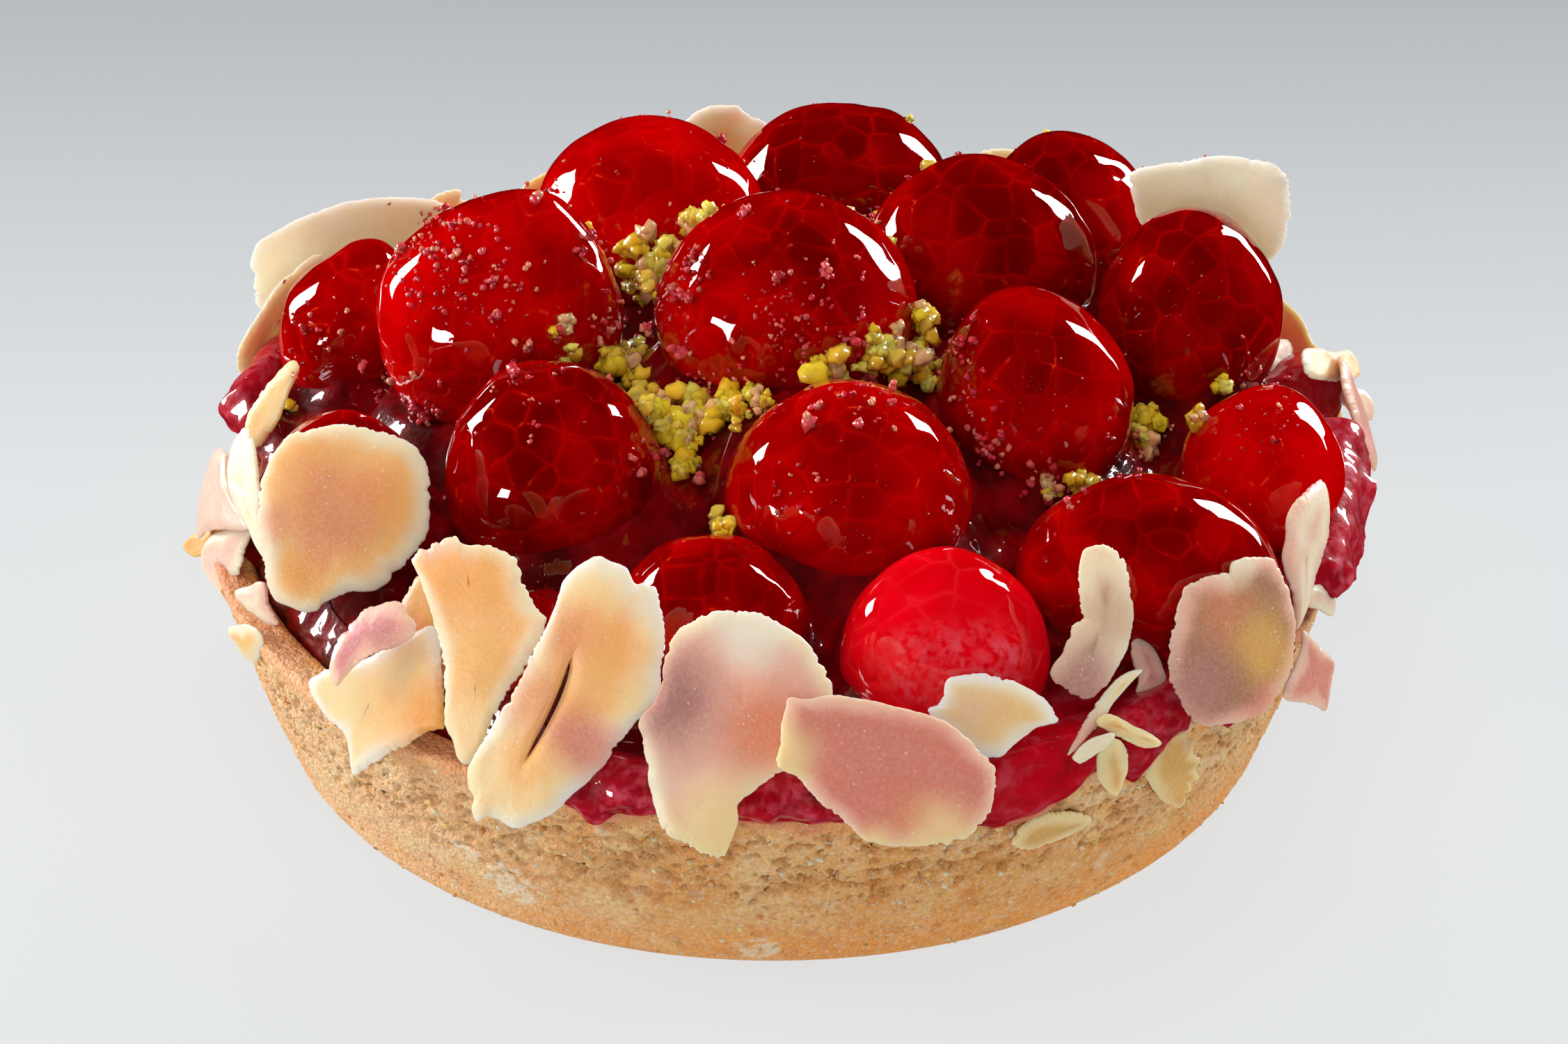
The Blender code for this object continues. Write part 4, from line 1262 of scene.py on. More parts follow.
@dataclass
class Glaze:
    """Set glaze that fills the case, climbs the berries and runs over the rim.

    Tongues, banks, bulges and runs are bells round the axis: where it runs out, piles up, swells and
    stays fresh. Inside is the line that it keeps to elsewhere, measured from the wall's inner edge and
    the rim's height.
    """

    case: PastryCase
    berries: tuple[Berry, ...] = BERRIES
    bed_top: float = 28.0
    bed_edge: float = 18.0
    bed_radius: float = 40.0
    lip_reach: float = 45.3
    lip_drop: float = 2.8
    bank_height: float = 4.0
    climb: float = 3.0
    climb_width: float = 1.5
    dip: float = 2.6
    segments: int = 700
    edge_rows: int = 58
    bed_rows: int = 52
    foot_height: float = 4.3
    tongues: tuple[tuple[float, float, float], ...] = (
        (-107, 9, 0.78), (-88, 13, 0.66), (-66, 11, 1.0), (-53, 8, 0.95), (-37, 9, 0.92), (-10, 14, 1.0),
        (16, 8, 0.7), (72, 13, 0.8), (118, 11, 0.72), (160, 10, 0.8), (-172, 7, 0.4),
    )
    banks: tuple[tuple[float, ...], ...] = ((4, 15), (-172, 12, 0.6), (58, 10))
    bulges: tuple[tuple[float, ...], ...] = ((5, 28), (-64, 11, 0.6))
    runs: tuple[tuple[float, ...], ...] = ((-64, 10), (12, 14, 0.5))
    inside: tuple[tuple[float, float], ...] = (
        (0.0, -1.4), (-0.05, -0.6), (-0.15, 0.1), (-0.5, 0.7), (-1.1, 1.3), (-2.0, 1.9),
    )

    def sections(self, azimuth: np.ndarray) -> np.ndarray:
        """Half sections of the glaze at each azimuth, from the bottom to the top.

        The edge is a mix of one section that stays inside the rim and one that runs over it.

        Args:
            azimuth: Degrees.

        Returns:
            Radius and height as rows, azimuths, 2.
        """
        case, rim = self.case, self.case.height
        ragged = 0.2 * NOISE.layered(around(case.rim_radius, np.radians(azimuth), 0.0), 3.0, 3)
        spill = bells(azimuth, self.tongues) + ragged
        drop = smooth_step(spill, 0.66, 1.0) * self.lip_drop
        raised = bells(azimuth, self.banks) * self.bank_height
        wall = float(case.inner(rim - case.rim_round)) - 0.1
        low = rim - 0.3 - drop
        reach = self.lip_reach + 0.8 * bells(azimuth, self.bulges)
        outside = [
            (wall + 0.2, rim + 0.05),
            (case.rim_radius - 0.3, rim + 0.12),
            (case.outer(low) + 0.05, low),
            (case.outer(low) + 0.45, low - 0.05),
            (reach - 0.15 * drop, rim + 1.5 - 0.6 * drop + 0.6 * raised),
            (reach - 2.0, rim + 3.4 + raised),
        ]
        kept = (np.array(self.inside) + [wall, rim])[:, None]
        over = np.stack([coords(radius + 0 * azimuth, height + 0 * azimuth) for radius, height in outside])
        edge = kept + (over - kept) * smooth_step(spill, 0.12, 0.66)[:, None]
        upper = spline(np.concatenate([edge, self._domed([38.5, 35.0, 31.0], raised)]), self.edge_rows)
        foot = float(case.inner(case.floor_thickness))
        hidden = [(foot * 0.5, self.foot_height), (foot - 1.8, self.foot_height)]
        hidden += [(float(case.inner(height)) - 0.3, height + 0.3) for height in (5.5, 11.0)]
        base = np.array(hidden)[:, None] + np.zeros((len(azimuth), 1))
        return np.concatenate([base, upper, self._domed(np.linspace(30.4, 0.6, self.bed_rows), raised)])

    def _domed(self, radii: Sequence[float], raised: np.ndarray) -> np.ndarray:
        """Rows of the bed at some radii, banked up towards the rim by each azimuth's own rise."""
        radius = np.array(radii)[:, None]
        return coords(radius, self.bed(radius) + raised * smooth_step(radius, 24, 38))

    def bed(self, radius: np.ndarray) -> np.ndarray:
        """Height of the glaze between the berries: a shallow dome, top - (top - edge)(r / R)²."""
        return self.bed_top - (self.bed_top - self.bed_edge) * (radius / self.bed_radius) ** 2

    def climbing(self, points: np.ndarray) -> np.ndarray:
        """How far the glaze climbs the berries near each point.

        Each berry adds climb e^-(d / width), d being the distance to its outline at that height, and
        the sums are joined as the cube root of the summed cubes.

        Args:
            points: Places on the bed.

        Returns:
            Rise in millimetres.
        """
        total = np.zeros(points.shape[:-1])
        for berry in self.berries:
            off = points - berry.middle
            share = np.sqrt(np.clip(1 - (off[..., 2] / berry.half[2]) ** 2, 0.0, 1.0))
            shift = off[..., 2] * math.tan(math.radians(berry.lean))
            across = (off[..., 0] - shift) / berry.half[0]
            away = off[..., 1] / berry.half[1]
            distance = (np.hypot(across, away) - share) * 0.5 * (berry.half[0] + berry.half[1])
            rise = self.climb * np.exp(-np.maximum(distance, 0.0) / self.climb_width) * (share > 0)
            total += rise**3
        return np.cbrt(total)

    def skin(self) -> Skin:
        """Turns the sections and adds wrinkles, lumps and the rise at the berries.

        Returns:
            The surface with its thin and fresh values.
        """
        azimuth = np.linspace(0, 360, self.segments, endpoint=False)
        radius, height = np.moveaxis(self.sections(azimuth), -1, 0)
        turn, edge = np.radians(azimuth), self.case.height
        points = around(radius, turn, height)
        free = smooth_step(height, edge + 0.3, edge + 1.6)
        rim = smooth_step(radius, 34.0, 42.0)
        folds = NOISE.layered(points, 3.6, 3, 1.5)
        creases = NOISE.layered(points * np.array([1.0, 1.0, 1.3]) + 60.0, 1.5, 2)
        outward = (0.5 * folds + 0.28 * creases) * rim * smooth_step(height, edge - 2.8, edge + 0.6)
        bulge = bells(azimuth, self.bulges)
        points += around(np.minimum(outward * (1 + bulge), 0.1 + 0.8 * bulge), turn, 0.0)
        beady = 0.3 * NOISE.layered(points + 33.0, 1.7, 2) * (1 - rim)
        points[..., 2] += free * (0.35 * NOISE.layered(points + 9.0, 6.0, 2) + 0.12 * folds + beady)
        points[..., 2] += free * self.climbing(points) * (1 - 0.7 * rim)
        points[..., 2] -= self.dip * smooth_step(radius, 9.0, 15.0) * (1 - smooth_step(radius, 31.0, 37.0))
        ends = np.array([[0.0, 0.0, self.foot_height], [0.0, 0.0, self.bed_top]])
        skin = Skin.lofted(points, *ends)
        thin = smooth_step(radius, 40.5, 43.5) * (0.6 + 0.7 * folds + 0.4 * creases + 0.35 * bulge)
        fresh = bells(azimuth, self.runs) * smooth_step(radius, 36.0, 40.0)
        values = {"thin": np.clip(thin, 0, 1) * (1 - fresh), "fresh": fresh}
        skin.values = {name: np.append(value, [0.0, 0.0]) for name, value in values.items()}
        return skin

    def make(self) -> Skin:
        """Adds the glaze.

        Returns:
            Its surface.
        """
        skin = self.skin()
        add_piece("glaze_bed", skin, RedGlaze().make(), ["filling"])
        return skin


# Flaked almonds


class Tint(Enum):
    """Display colours of the slices' zones."""

    MILK = (252, 244, 230)
    WHITE = (240, 230, 214)
    CREAM = (243, 224, 194)
    BUTTER = (245, 212, 158)
    GOLD = (246, 188, 116)
    AMBER = (236, 158, 70)
    TAN = (230, 156, 104)
    OCHRE = (214, 166, 92)
    BROWN = (172, 124, 92)
    ROSE = (216, 138, 120)
    BLUSH = (236, 190, 170)
    SALMON = (222, 142, 104)
    MAUVE = (180, 128, 120)
    MAGENTA = (206, 96, 122)
    ORCHID = (208, 134, 134)

    def light(self) -> np.ndarray:
        """The colour as linear light."""
        return np.array(linear(*self.value))


MILK, WHITE, CREAM, BUTTER, GOLD, AMBER, TAN, *_ = Tint
*_, OCHRE, BROWN, ROSE, BLUSH, SALMON, MAUVE, MAGENTA, ORCHID = Tint


@dataclass(frozen=True)
class Stain:
    """Soft stain on a slice: place as shares of its half sizes, reach in millimetres, colour, strength."""

    across: float
    along: float
    reach: float
    tint: Tint
    strength: float = 0.8


@dataclass(frozen=True)
class Slice:
    """One flaked almond: which way it faces, leans and spins, its size, outline and colours.

    Outline and slit list pixels, across and down in turn; without an outline, taper and square shape it.
    Tints are those of rim, band and core. A chip lies where the sight line through its carrier pixel meets
    the tartlet.
    """

    name: str
    facing: float
    lean: float
    spin: float
    length: float
    width: float
    taper: float = 0.0
    square: float = 2.0
    tints: tuple[Tint, Tint, Tint] = (CREAM, GOLD, TAN)
    stains: tuple[Stain, ...] = ()
    outline: tuple[float, ...] = ()
    slit: tuple[float, ...] = ()
    carrier: tuple[float, float] = (0.0, 0.0)
    cup: float = 0.8
    lift: float = 0.35
    # Darker tint of the outer side: painted shade against the back light, paired with paler tints painted on
    # the side in shade.
    outer: Tint | None = None

    def axes(self) -> np.ndarray:
        """Turn of the slice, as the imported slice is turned.

        Returns:
            Rows: across, along and outward.
        """
        facing, lean, spin = (math.radians(angle) for angle in (self.facing, self.lean, self.spin))
        aside, front = math.sin(facing), -math.cos(facing)
        level, rise = math.cos(lean), math.sin(lean)
        normal = np.array([aside * level, front * level, rise])
        up = np.array([-aside * rise, -front * rise, level])
        along = up * math.cos(spin) + np.cross(up, normal) * math.sin(spin)
        return np.stack([np.cross(along, normal), along, normal])


SLICES = (
    Slice(
        "flake_round_left", -10, 30, 0, 14.0, 13.0, tints=(CREAM, GOLD, TAN),
        stains=(
            Stain(-0.35, -0.6, 1.8, AMBER, 0.6), Stain(0.55, 0.2, 2.0, AMBER, 0.4),
            Stain(-0.65, -0.1, 1.6, ROSE, 0.5), Stain(0.0, -0.1, 2.8, SALMON, 0.35),
        ),
        outline=(
            400, 642, 422, 622, 460, 613, 500, 610, 540, 617, 572, 627, 600, 645, 613, 670, 617, 700,
            618, 740, 610, 776, 585, 811, 565, 822, 560, 835, 540, 850, 510, 850, 485, 857, 465, 868,
            455, 880, 435, 880, 415, 873, 395, 863, 383, 845, 378, 815, 372, 780, 370, 740, 372, 700,
            385, 665,
        ),
    ),
    Slice(
        "flake_behind_tall", -32, 32, 20, 9, 7.5, tints=(TAN, OCHRE, TAN),
        outline=(600, 822, 620, 850, 650, 880, 660, 930, 640, 990, 600, 1000, 572, 960, 562, 900, 578, 862),
    ),
    Slice(
        "flake_pale", -40, 25, 10, 13.5, 11, tints=(WHITE, BUTTER, BUTTER),
        stains=(Stain(0.1, -0.1, 2.8, GOLD, 0.6), Stain(0.75, 0.2, 4.2, AMBER, 1.0)),
        outline=(
            442, 978, 460, 963, 500, 955, 540, 938, 600, 905, 626, 902, 637, 955, 640, 1040, 632, 1048,
            610, 1055, 590, 1068, 560, 1086, 530, 1104, 510, 1115, 505, 1090, 500, 1060, 490, 1046,
            470, 1033, 455, 1010, 444, 993,
        ),
    ),
    Slice(
        "flake_plum", -40, 45, 60, 7.5, 5, tints=(BLUSH, ORCHID, ORCHID),
        stains=(Stain(0.3, 0.4, 1.4, MAUVE, 0.7), Stain(-0.4, -0.4, 1.2, MAGENTA, 0.5)),
        outline=(
            497, 905, 507, 888, 525, 874, 548, 867, 568, 863, 583, 870, 595, 885, 600, 900, 592, 915,
            565, 934, 535, 945, 510, 958, 492, 975, 480, 985, 472, 965, 480, 935, 487, 915,
        ),
    ),
    Slice(
        "flake_tall", -20, 28, -10, 17, 9.5, tints=(CREAM, GOLD, GOLD),
        stains=(
            Stain(-0.7, 0.8, 2.0, ORCHID, 0.6), Stain(-0.1, 0.45, 3.0, AMBER, 0.35),
            Stain(0.0, -0.8, 3.0, BUTTER, 0.7),
        ),
        outline=(
            588, 798, 610, 785, 640, 772, 656, 771, 666, 781, 700, 782, 722, 788, 741, 800, 748, 820,
            756, 846, 770, 872, 785, 893, 766, 945, 738, 988, 708, 1040, 684, 1088, 668, 1098, 655, 1085,
            650, 1065, 638, 1040, 639, 1000, 637, 960, 630, 920, 618, 875, 603, 835,
        ),
    ),
    Slice(
        "flake_slit", -14, 25, 22, 21, 9.6, tints=(WHITE, BUTTER, GOLD),
        stains=(
            Stain(-0.3, -0.1, 3.0, TAN, 0.8), Stain(-0.3, 0.35, 2.4, SALMON, 0.5),
            Stain(0.3, 0.5, 2.5, AMBER, 0.35), Stain(0.45, -0.2, 2.6, ROSE, 0.9),
            Stain(0.45, 0.85, 2.4, WHITE, 0.9), Stain(-0.5, -0.8, 2.6, BUTTER, 0.8),
        ),
        outline=(
            860, 799, 880, 806, 900, 815, 912, 838, 926, 836, 944, 846, 949, 870, 956, 900, 958, 930,
            949, 960, 950, 990, 940, 1015, 916, 1035, 905, 1050, 885, 1075, 870, 1100, 850, 1118, 820, 1145,
            800, 1165, 780, 1178, 760, 1185, 735, 1192, 715, 1180, 700, 1173, 685, 1180, 677, 1165,
            680, 1145, 672, 1130, 672, 1100, 690, 1070, 715, 1030, 740, 985, 765, 935, 785, 900, 798, 870,
            806, 840, 820, 822, 840, 808,
        ),
        slit=(
            820, 950, 817, 972, 806, 1004, 790, 1038, 773, 1068, 758, 1088, 769, 1065, 785, 1035, 800, 1001,
            812, 970,
        ),
    ),
    Slice(
        "flake_broad", -6, 25, -5, 18, 13, tints=(CREAM, BLUSH, BLUSH),
        stains=(
            Stain(0.3, 0.0, 3.6, SALMON, 0.9), Stain(-0.5, 0.25, 4.2, MAUVE, 1.0),
            Stain(-0.1, -0.75, 3.8, BUTTER, 1.0), Stain(0.3, 0.75, 3.2, WHITE, 1.0),
        ),
        outline=(
            980, 898, 1010, 884, 1040, 876, 1090, 881, 1120, 895, 1150, 916, 1175, 945, 1192, 975,
            1196, 1005, 1185, 1050, 1150, 1095, 1120, 1112, 1092, 1128, 1062, 1155, 1061, 1180, 1050, 1210,
            1038, 1233, 1010, 1228, 985, 1212, 958, 1198, 943, 1172, 932, 1120, 924, 1070, 917, 1038,
            936, 1012, 950, 980, 955, 945, 963, 918,
        ),
    ),
    Slice(
        "flake_cream", 16, 32, 75, 9.6, 6.2, tints=(MILK, BUTTER, BUTTER),
        stains=(Stain(0.2, 0.3, 2.6, GOLD, 0.4), Stain(-0.3, -0.3, 1.8, BLUSH, 0.4)),
        outline=(
            1334, 1022, 1349, 1010, 1356, 990, 1366, 973, 1407, 967, 1442, 973, 1474, 986, 1500, 1002,
            1522, 1034, 1505, 1042, 1486, 1048, 1468, 1062, 1440, 1085, 1400, 1090, 1360, 1060,
        ),
    ),
    Slice(
        "flake_level", 8, 28, 102, 16.5, 8.8, tints=(BLUSH, ROSE, ROSE),
        stains=(
            Stain(0.0, -0.95, 2.8, BUTTER, 1.0), Stain(0.75, 0.55, 3.0, BUTTER, 0.9),
            Stain(0.95, 0.0, 1.8, BUTTER, 0.8), Stain(0.9, -0.5, 1.6, MAGENTA, 0.6),
            Stain(0.5, 0.2, 2.0, SALMON, 0.4),
        ),
        outline=(
            1135, 1003, 1160, 1004, 1200, 998, 1240, 1004, 1270, 1010, 1310, 1020, 1345, 1031, 1375, 1048,
            1400, 1068, 1420, 1090, 1433, 1112, 1430, 1142, 1420, 1170, 1400, 1195, 1375, 1211, 1340, 1216,
            1300, 1218, 1262, 1214, 1240, 1205, 1215, 1185, 1190, 1165, 1165, 1140, 1145, 1118, 1125, 1108,
            1113, 1095, 1120, 1070, 1122, 1045, 1128, 1020,
        ),
    ),
    Slice(
        "flake_curved", 25, 30, 12, 11.6, 4.8, tints=(CREAM, CREAM, BROWN),
        stains=(
            Stain(0.3, 0.1, 2.6, BROWN, 0.45), Stain(-0.4, -0.8, 3.2, MAUVE, 0.9),
            Stain(0.3, 0.8, 2.6, CREAM, 0.6),
        ),
        outline=(
            1556, 790, 1575, 782, 1590, 781, 1605, 790, 1620, 810, 1625, 840, 1628, 880, 1625, 910,
            1615, 940, 1600, 970, 1585, 990, 1565, 1005, 1545, 1003, 1525, 990, 1512, 970, 1515, 955,
            1525, 940, 1535, 915, 1541, 897, 1552, 888, 1549, 870, 1548, 840, 1550, 810,
        ),
    ),
    Slice(
        "flake_oval_right", 36, 25, 14, 13, 9.8, tints=(BLUSH, BROWN, BROWN),
        stains=(
            Stain(-0.1, 0.3, 3.0, SALMON, 0.6), Stain(0.4, -0.1, 3.0, OCHRE, 1.0),
            Stain(-0.55, -0.5, 3.2, MAUVE, 0.9), Stain(0.35, -0.85, 2.0, ROSE, 0.7),
            Stain(0.0, 0.95, 2.0, CREAM, 0.9),
        ),
        outline=(
            1705, 842, 1730, 830, 1758, 823, 1766, 822, 1771, 805, 1800, 801, 1830, 801, 1840, 815,
            1850, 835, 1858, 860, 1862, 885, 1865, 910, 1862, 935, 1855, 965, 1845, 985, 1830, 1005,
            1810, 1025, 1790, 1035, 1765, 1042, 1735, 1045, 1710, 1030, 1695, 1005, 1685, 985, 1680, 960,
            1679, 930, 1683, 900, 1690, 875, 1698, 855,
        ),
    ),
    Slice(
        "flake_pink_right", 64, 12, -10, 6.4, 5.4, tints=(BLUSH, ROSE, ROSE),
        outline=(
            1872, 905, 1890, 925, 1910, 940, 1920, 950, 1915, 970, 1910, 990, 1905, 1020, 1895, 1018,
            1870, 1010, 1850, 1005, 1848, 990, 1860, 960, 1868, 930,
        ),
    ),
    Slice(
        "flake_edge_right", 60, 22, 16, 11.2, 5.0, tints=(BLUSH, CREAM, BLUSH),
        stains=(Stain(0.3, 0.9, 1.6, MAGENTA, 0.7), Stain(-0.5, 0.0, 1.5, ROSE, 0.35)),
        outline=(
            1902, 688, 1910, 700, 1909, 740, 1907, 770, 1898, 800, 1888, 830, 1880, 860, 1872, 890,
            1866, 905, 1862, 880, 1855, 850, 1845, 820, 1842, 800, 1847, 770, 1848, 745, 1860, 720,
            1880, 700,
        ),
    ),
    Slice(
        "flake_pink_left", -78, 16, 4, 9.4, 6.4, tints=(BLUSH, BLUSH, BLUSH),
        outline=(
            310, 645, 326, 650, 330, 690, 345, 730, 352, 760, 320, 762, 300, 765, 285, 775, 283, 760,
            290, 720, 300, 680, 305, 660,
        ),
    ),
    Slice(
        "flake_edge_left", -62, 22, -6, 9.2, 6.0, tints=(CREAM, CREAM, BUTTER),
        outline=(
            352, 613, 365, 640, 370, 665, 375, 700, 376, 740, 378, 790, 372, 800, 362, 770, 350, 745,
            338, 720, 330, 695, 326, 665, 328, 640, 338, 622,
        ),
    ),
    Slice(
        "flake_shard", -50, 30, 32, 9.0, 2.8, tints=(BUTTER, GOLD, AMBER),
        outline=(
            422, 517, 429, 526, 421, 550, 407, 588, 392, 615, 370, 642, 355, 634, 357, 602, 372, 572,
            392, 543, 411, 521,
        ),
    ),
    Slice(
        # Painted light: the side seen from the front is milk-white against its shade, and the outer side is
        # painted darker against the back light.
        "flake_back_left", -156, 14, 106, 18.5, 13.0, tints=(MILK, MILK, MILK), outer=TAN,
        outline=(
            359, 375, 370, 343, 395, 330, 434, 309, 472, 296, 537, 283, 590, 285, 640, 292, 665, 330,
            650, 380, 590, 430, 500, 470, 420, 470, 378, 450, 363, 420, 365, 393,
        ),
    ),
    Slice(
        "flake_left_back", -128, 8, -30, 11.0, 5.6, tints=(CREAM, BUTTER, GOLD),
        outline=(
            338, 512, 350, 483, 372, 449, 399, 411, 430, 384, 458, 366, 462, 390, 440, 430, 410, 480,
            385, 530, 368, 548, 346, 538,
        ),
    ),
    Slice(
        # Painted light: the side seen from the front is milk-white against its shade, and the outer side is
        # painted darker against the back light.
        "flake_back_right", 160, 16, 84, 13.0, 11.0, tints=(MILK, MILK, MILK), outer=TAN,
        outline=(
            1624, 266, 1625, 248, 1660, 238, 1700, 231, 1760, 224, 1800, 227, 1828, 233, 1850, 252,
            1853, 280, 1855, 310, 1850, 344, 1830, 372, 1780, 390, 1710, 380, 1650, 335, 1630, 295,
        ),
    ),
    # Painted light: the side seen from the front is pale against its shade, and the outer side is painted
    # darker against the back light.
    Slice("flake_back_centre", 176, 20, 8, 13.0, 8.4, 0.2, tints=(MILK, MILK, CREAM), outer=GOLD),
)

CHIPS = (
    Slice(
        "chip_needle", 32, 30, 38, 9.0, 1.6, tints=(CREAM, BUTTER, BLUSH), carrier=(1590, 1015), cup=0.1,
        lift=2.2,
        stains=(Stain(0.0, -0.75, 2.6, ORCHID, 0.8),),
        outline=(
            1641, 962, 1625, 980, 1600, 1010, 1580, 1040, 1560, 1062, 1535, 1085, 1545, 1060, 1565, 1025,
            1590, 990, 1615, 968,
        ),
    ),
    Slice(
        "chip_plum", 39, 35, 0, 4.8, 3.6, tints=(BLUSH, ORCHID, MAUVE), carrier=(1650, 960), cup=0.2,
        lift=1.6,
        outline=(
            1628, 920, 1645, 918, 1660, 935, 1670, 960, 1675, 985, 1665, 1000, 1645, 1005, 1632, 995,
            1635, 975, 1625, 950,
        ),
    ),
    Slice(
        "chip_sliver_upper", 36, 20, 100, 5.0, 1.4, tints=(BUTTER, OCHRE, BUTTER), carrier=(1620, 1048),
        cup=0.1,
        outline=(
            1575, 1040, 1590, 1026, 1620, 1038, 1650, 1053, 1667, 1067, 1655, 1074, 1630, 1071, 1600, 1056,
        ),
    ),
    Slice(
        "chip_sliver_lower", 30, 10, 60, 4.0, 1.4, tints=(CREAM, BUTTER, OCHRE), carrier=(1570, 1075),
        cup=0.1,
        outline=(1540, 1090, 1555, 1070, 1580, 1056, 1600, 1053, 1595, 1068, 1570, 1085, 1550, 1097),
    ),
    Slice(
        "chip_oval", 34, 0, 10, 4.6, 2.4, tints=(BUTTER, OCHRE, BUTTER), carrier=(1600, 1100), cup=0.1,
        outline=(
            1580, 1080, 1600, 1062, 1620, 1075, 1622, 1100, 1615, 1125, 1605, 1143, 1590, 1135, 1578, 1115,
            1577, 1095,
        ),
    ),
    Slice(
        "chip_jagged", 40, -8, 10, 6.2, 4.2, tints=(BUTTER, OCHRE, OCHRE), carrier=(1685, 1110), cup=0.1,
        stains=(
            Stain(0.2, 0.6, 1.4, BROWN, 0.6), Stain(0.1, -0.4, 1.8, GOLD, 0.5),
            Stain(0.9, 0.0, 1.0, CREAM, 0.5),
        ),
        outline=(
            1681, 1046, 1694, 1036, 1704, 1043, 1706, 1056, 1714, 1066, 1713, 1078, 1724, 1090, 1716, 1103,
            1721, 1116, 1710, 1124, 1711, 1136, 1700, 1142, 1704, 1152, 1695, 1163, 1684, 1157, 1670, 1151,
            1661, 1139, 1652, 1126, 1645, 1115, 1646, 1101, 1653, 1080, 1667, 1059,
        ),
    ),
    Slice(
        "chip_on_wall", 27, -12, 80, 5.8, 2.8, tints=(BUTTER, OCHRE, OCHRE), carrier=(1505, 1195), cup=0.1,
        outline=(
            1453, 1212, 1465, 1190, 1490, 1172, 1530, 1166, 1560, 1172, 1568, 1182, 1545, 1200, 1510, 1214,
            1475, 1222,
        ),
    ),
    Slice(
        "chip_left_upper", -66, 12, 0, 5.0, 3.4, tints=(CREAM, BLUSH, BLUSH), carrier=(325, 800), cup=0.2,
        outline=(300, 775, 320, 762, 358, 760, 350, 790, 340, 830, 322, 860, 310, 845, 295, 820, 290, 795),
    ),
    Slice(
        "chip_left_lower", -56, 10, 20, 4.6, 3.4, tints=(BLUSH, CREAM, BLUSH), carrier=(368, 872), cup=0.2,
        outline=(340, 850, 360, 840, 378, 838, 385, 870, 398, 900, 375, 905, 355, 895, 345, 875),
    ),
    Slice(
        "chip_left_amber", -72, 14, 0, 4.0, 2.0, tints=(GOLD, AMBER, AMBER), carrier=(318, 772), cup=0.1,
        lift=0.1,
        outline=(264, 786, 276, 770, 300, 762, 325, 766, 322, 786, 300, 796, 278, 800),
    ),
    Slice(
        "chip_left_foot", -52, 0, 0, 3.4, 2.0, tints=(CREAM, GOLD, GOLD), carrier=(364, 918), cup=0.1,
        lift=0.2,
        outline=(326, 905, 345, 898, 370, 905, 378, 930, 366, 952, 350, 944, 338, 925),
    ),
    Slice(
        "chip_right_upper", 80, 30, 60, 5.0, 3.2, tints=(CREAM, GOLD, BUTTER), carrier=(1905, 520), cup=0.2,
        outline=(1872, 505, 1890, 500, 1915, 506, 1940, 503, 1956, 530, 1945, 546, 1910, 548, 1880, 540),
    ),
    Slice(
        "chip_right_lower", 60, 30, 20, 3.6, 3.0, tints=(BLUSH, CREAM, ROSE), carrier=(1925, 590), cup=0.2,
        outline=(1912, 556, 1935, 552, 1960, 560, 1975, 580, 1972, 604, 1955, 600, 1930, 580),
    ),
    Slice(
        "chip_right_inner", 60, 40, 0, 3.8, 2.6, tints=(CREAM, BLUSH, BUTTER), carrier=(1840, 515), cup=0.2,
        outline=(1822, 500, 1838, 486, 1855, 490, 1860, 520, 1852, 546, 1830, 548, 1822, 530),
    ),
    Slice(
        "chip_right_edge", 66, 15, 0, 3.2, 2.6, tints=(CREAM, BLUSH, CREAM), carrier=(1900, 862), cup=0.1,
        outline=(1880, 845, 1900, 840, 1918, 845, 1920, 865, 1915, 885, 1895, 876, 1878, 870),
    ),
)

BACK_TINTS = ((BUTTER, GOLD, TAN), (CREAM, BUTTER, GOLD), (BLUSH, ROSE, ROSE), (CREAM, GOLD, AMBER))


def packed_points(name: str) -> np.ndarray:
    """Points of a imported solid.

    Args:
        name: Its node.

    Returns:
        The points in millimetres.
    """
    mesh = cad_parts[name].data
    flat = np.zeros(len(mesh.vertices) * 3)
    mesh.vertices.foreach_get("co", flat)
    return flat.reshape(-1, 3) / MM


def raised(flat: np.ndarray, height: np.ndarray | float) -> np.ndarray:
    """Points of a plane with a height added as their third coordinate."""
    return coords(flat[..., 0], flat[..., 1], height)


@dataclass
class Sheet:
    """Rings of a slice in its own plane, with the depth of their points behind the edge.

    Shares tell how much of the outline each ring keeps, and sides whether it is on the upper side, 1,
    the lower side, -1, or the edge, 0. The outline's middle and half sizes place the stains.
    """

    flat: np.ndarray
    depth: np.ndarray
    shares: np.ndarray
    sides: np.ndarray
    middle: np.ndarray
    half: np.ndarray


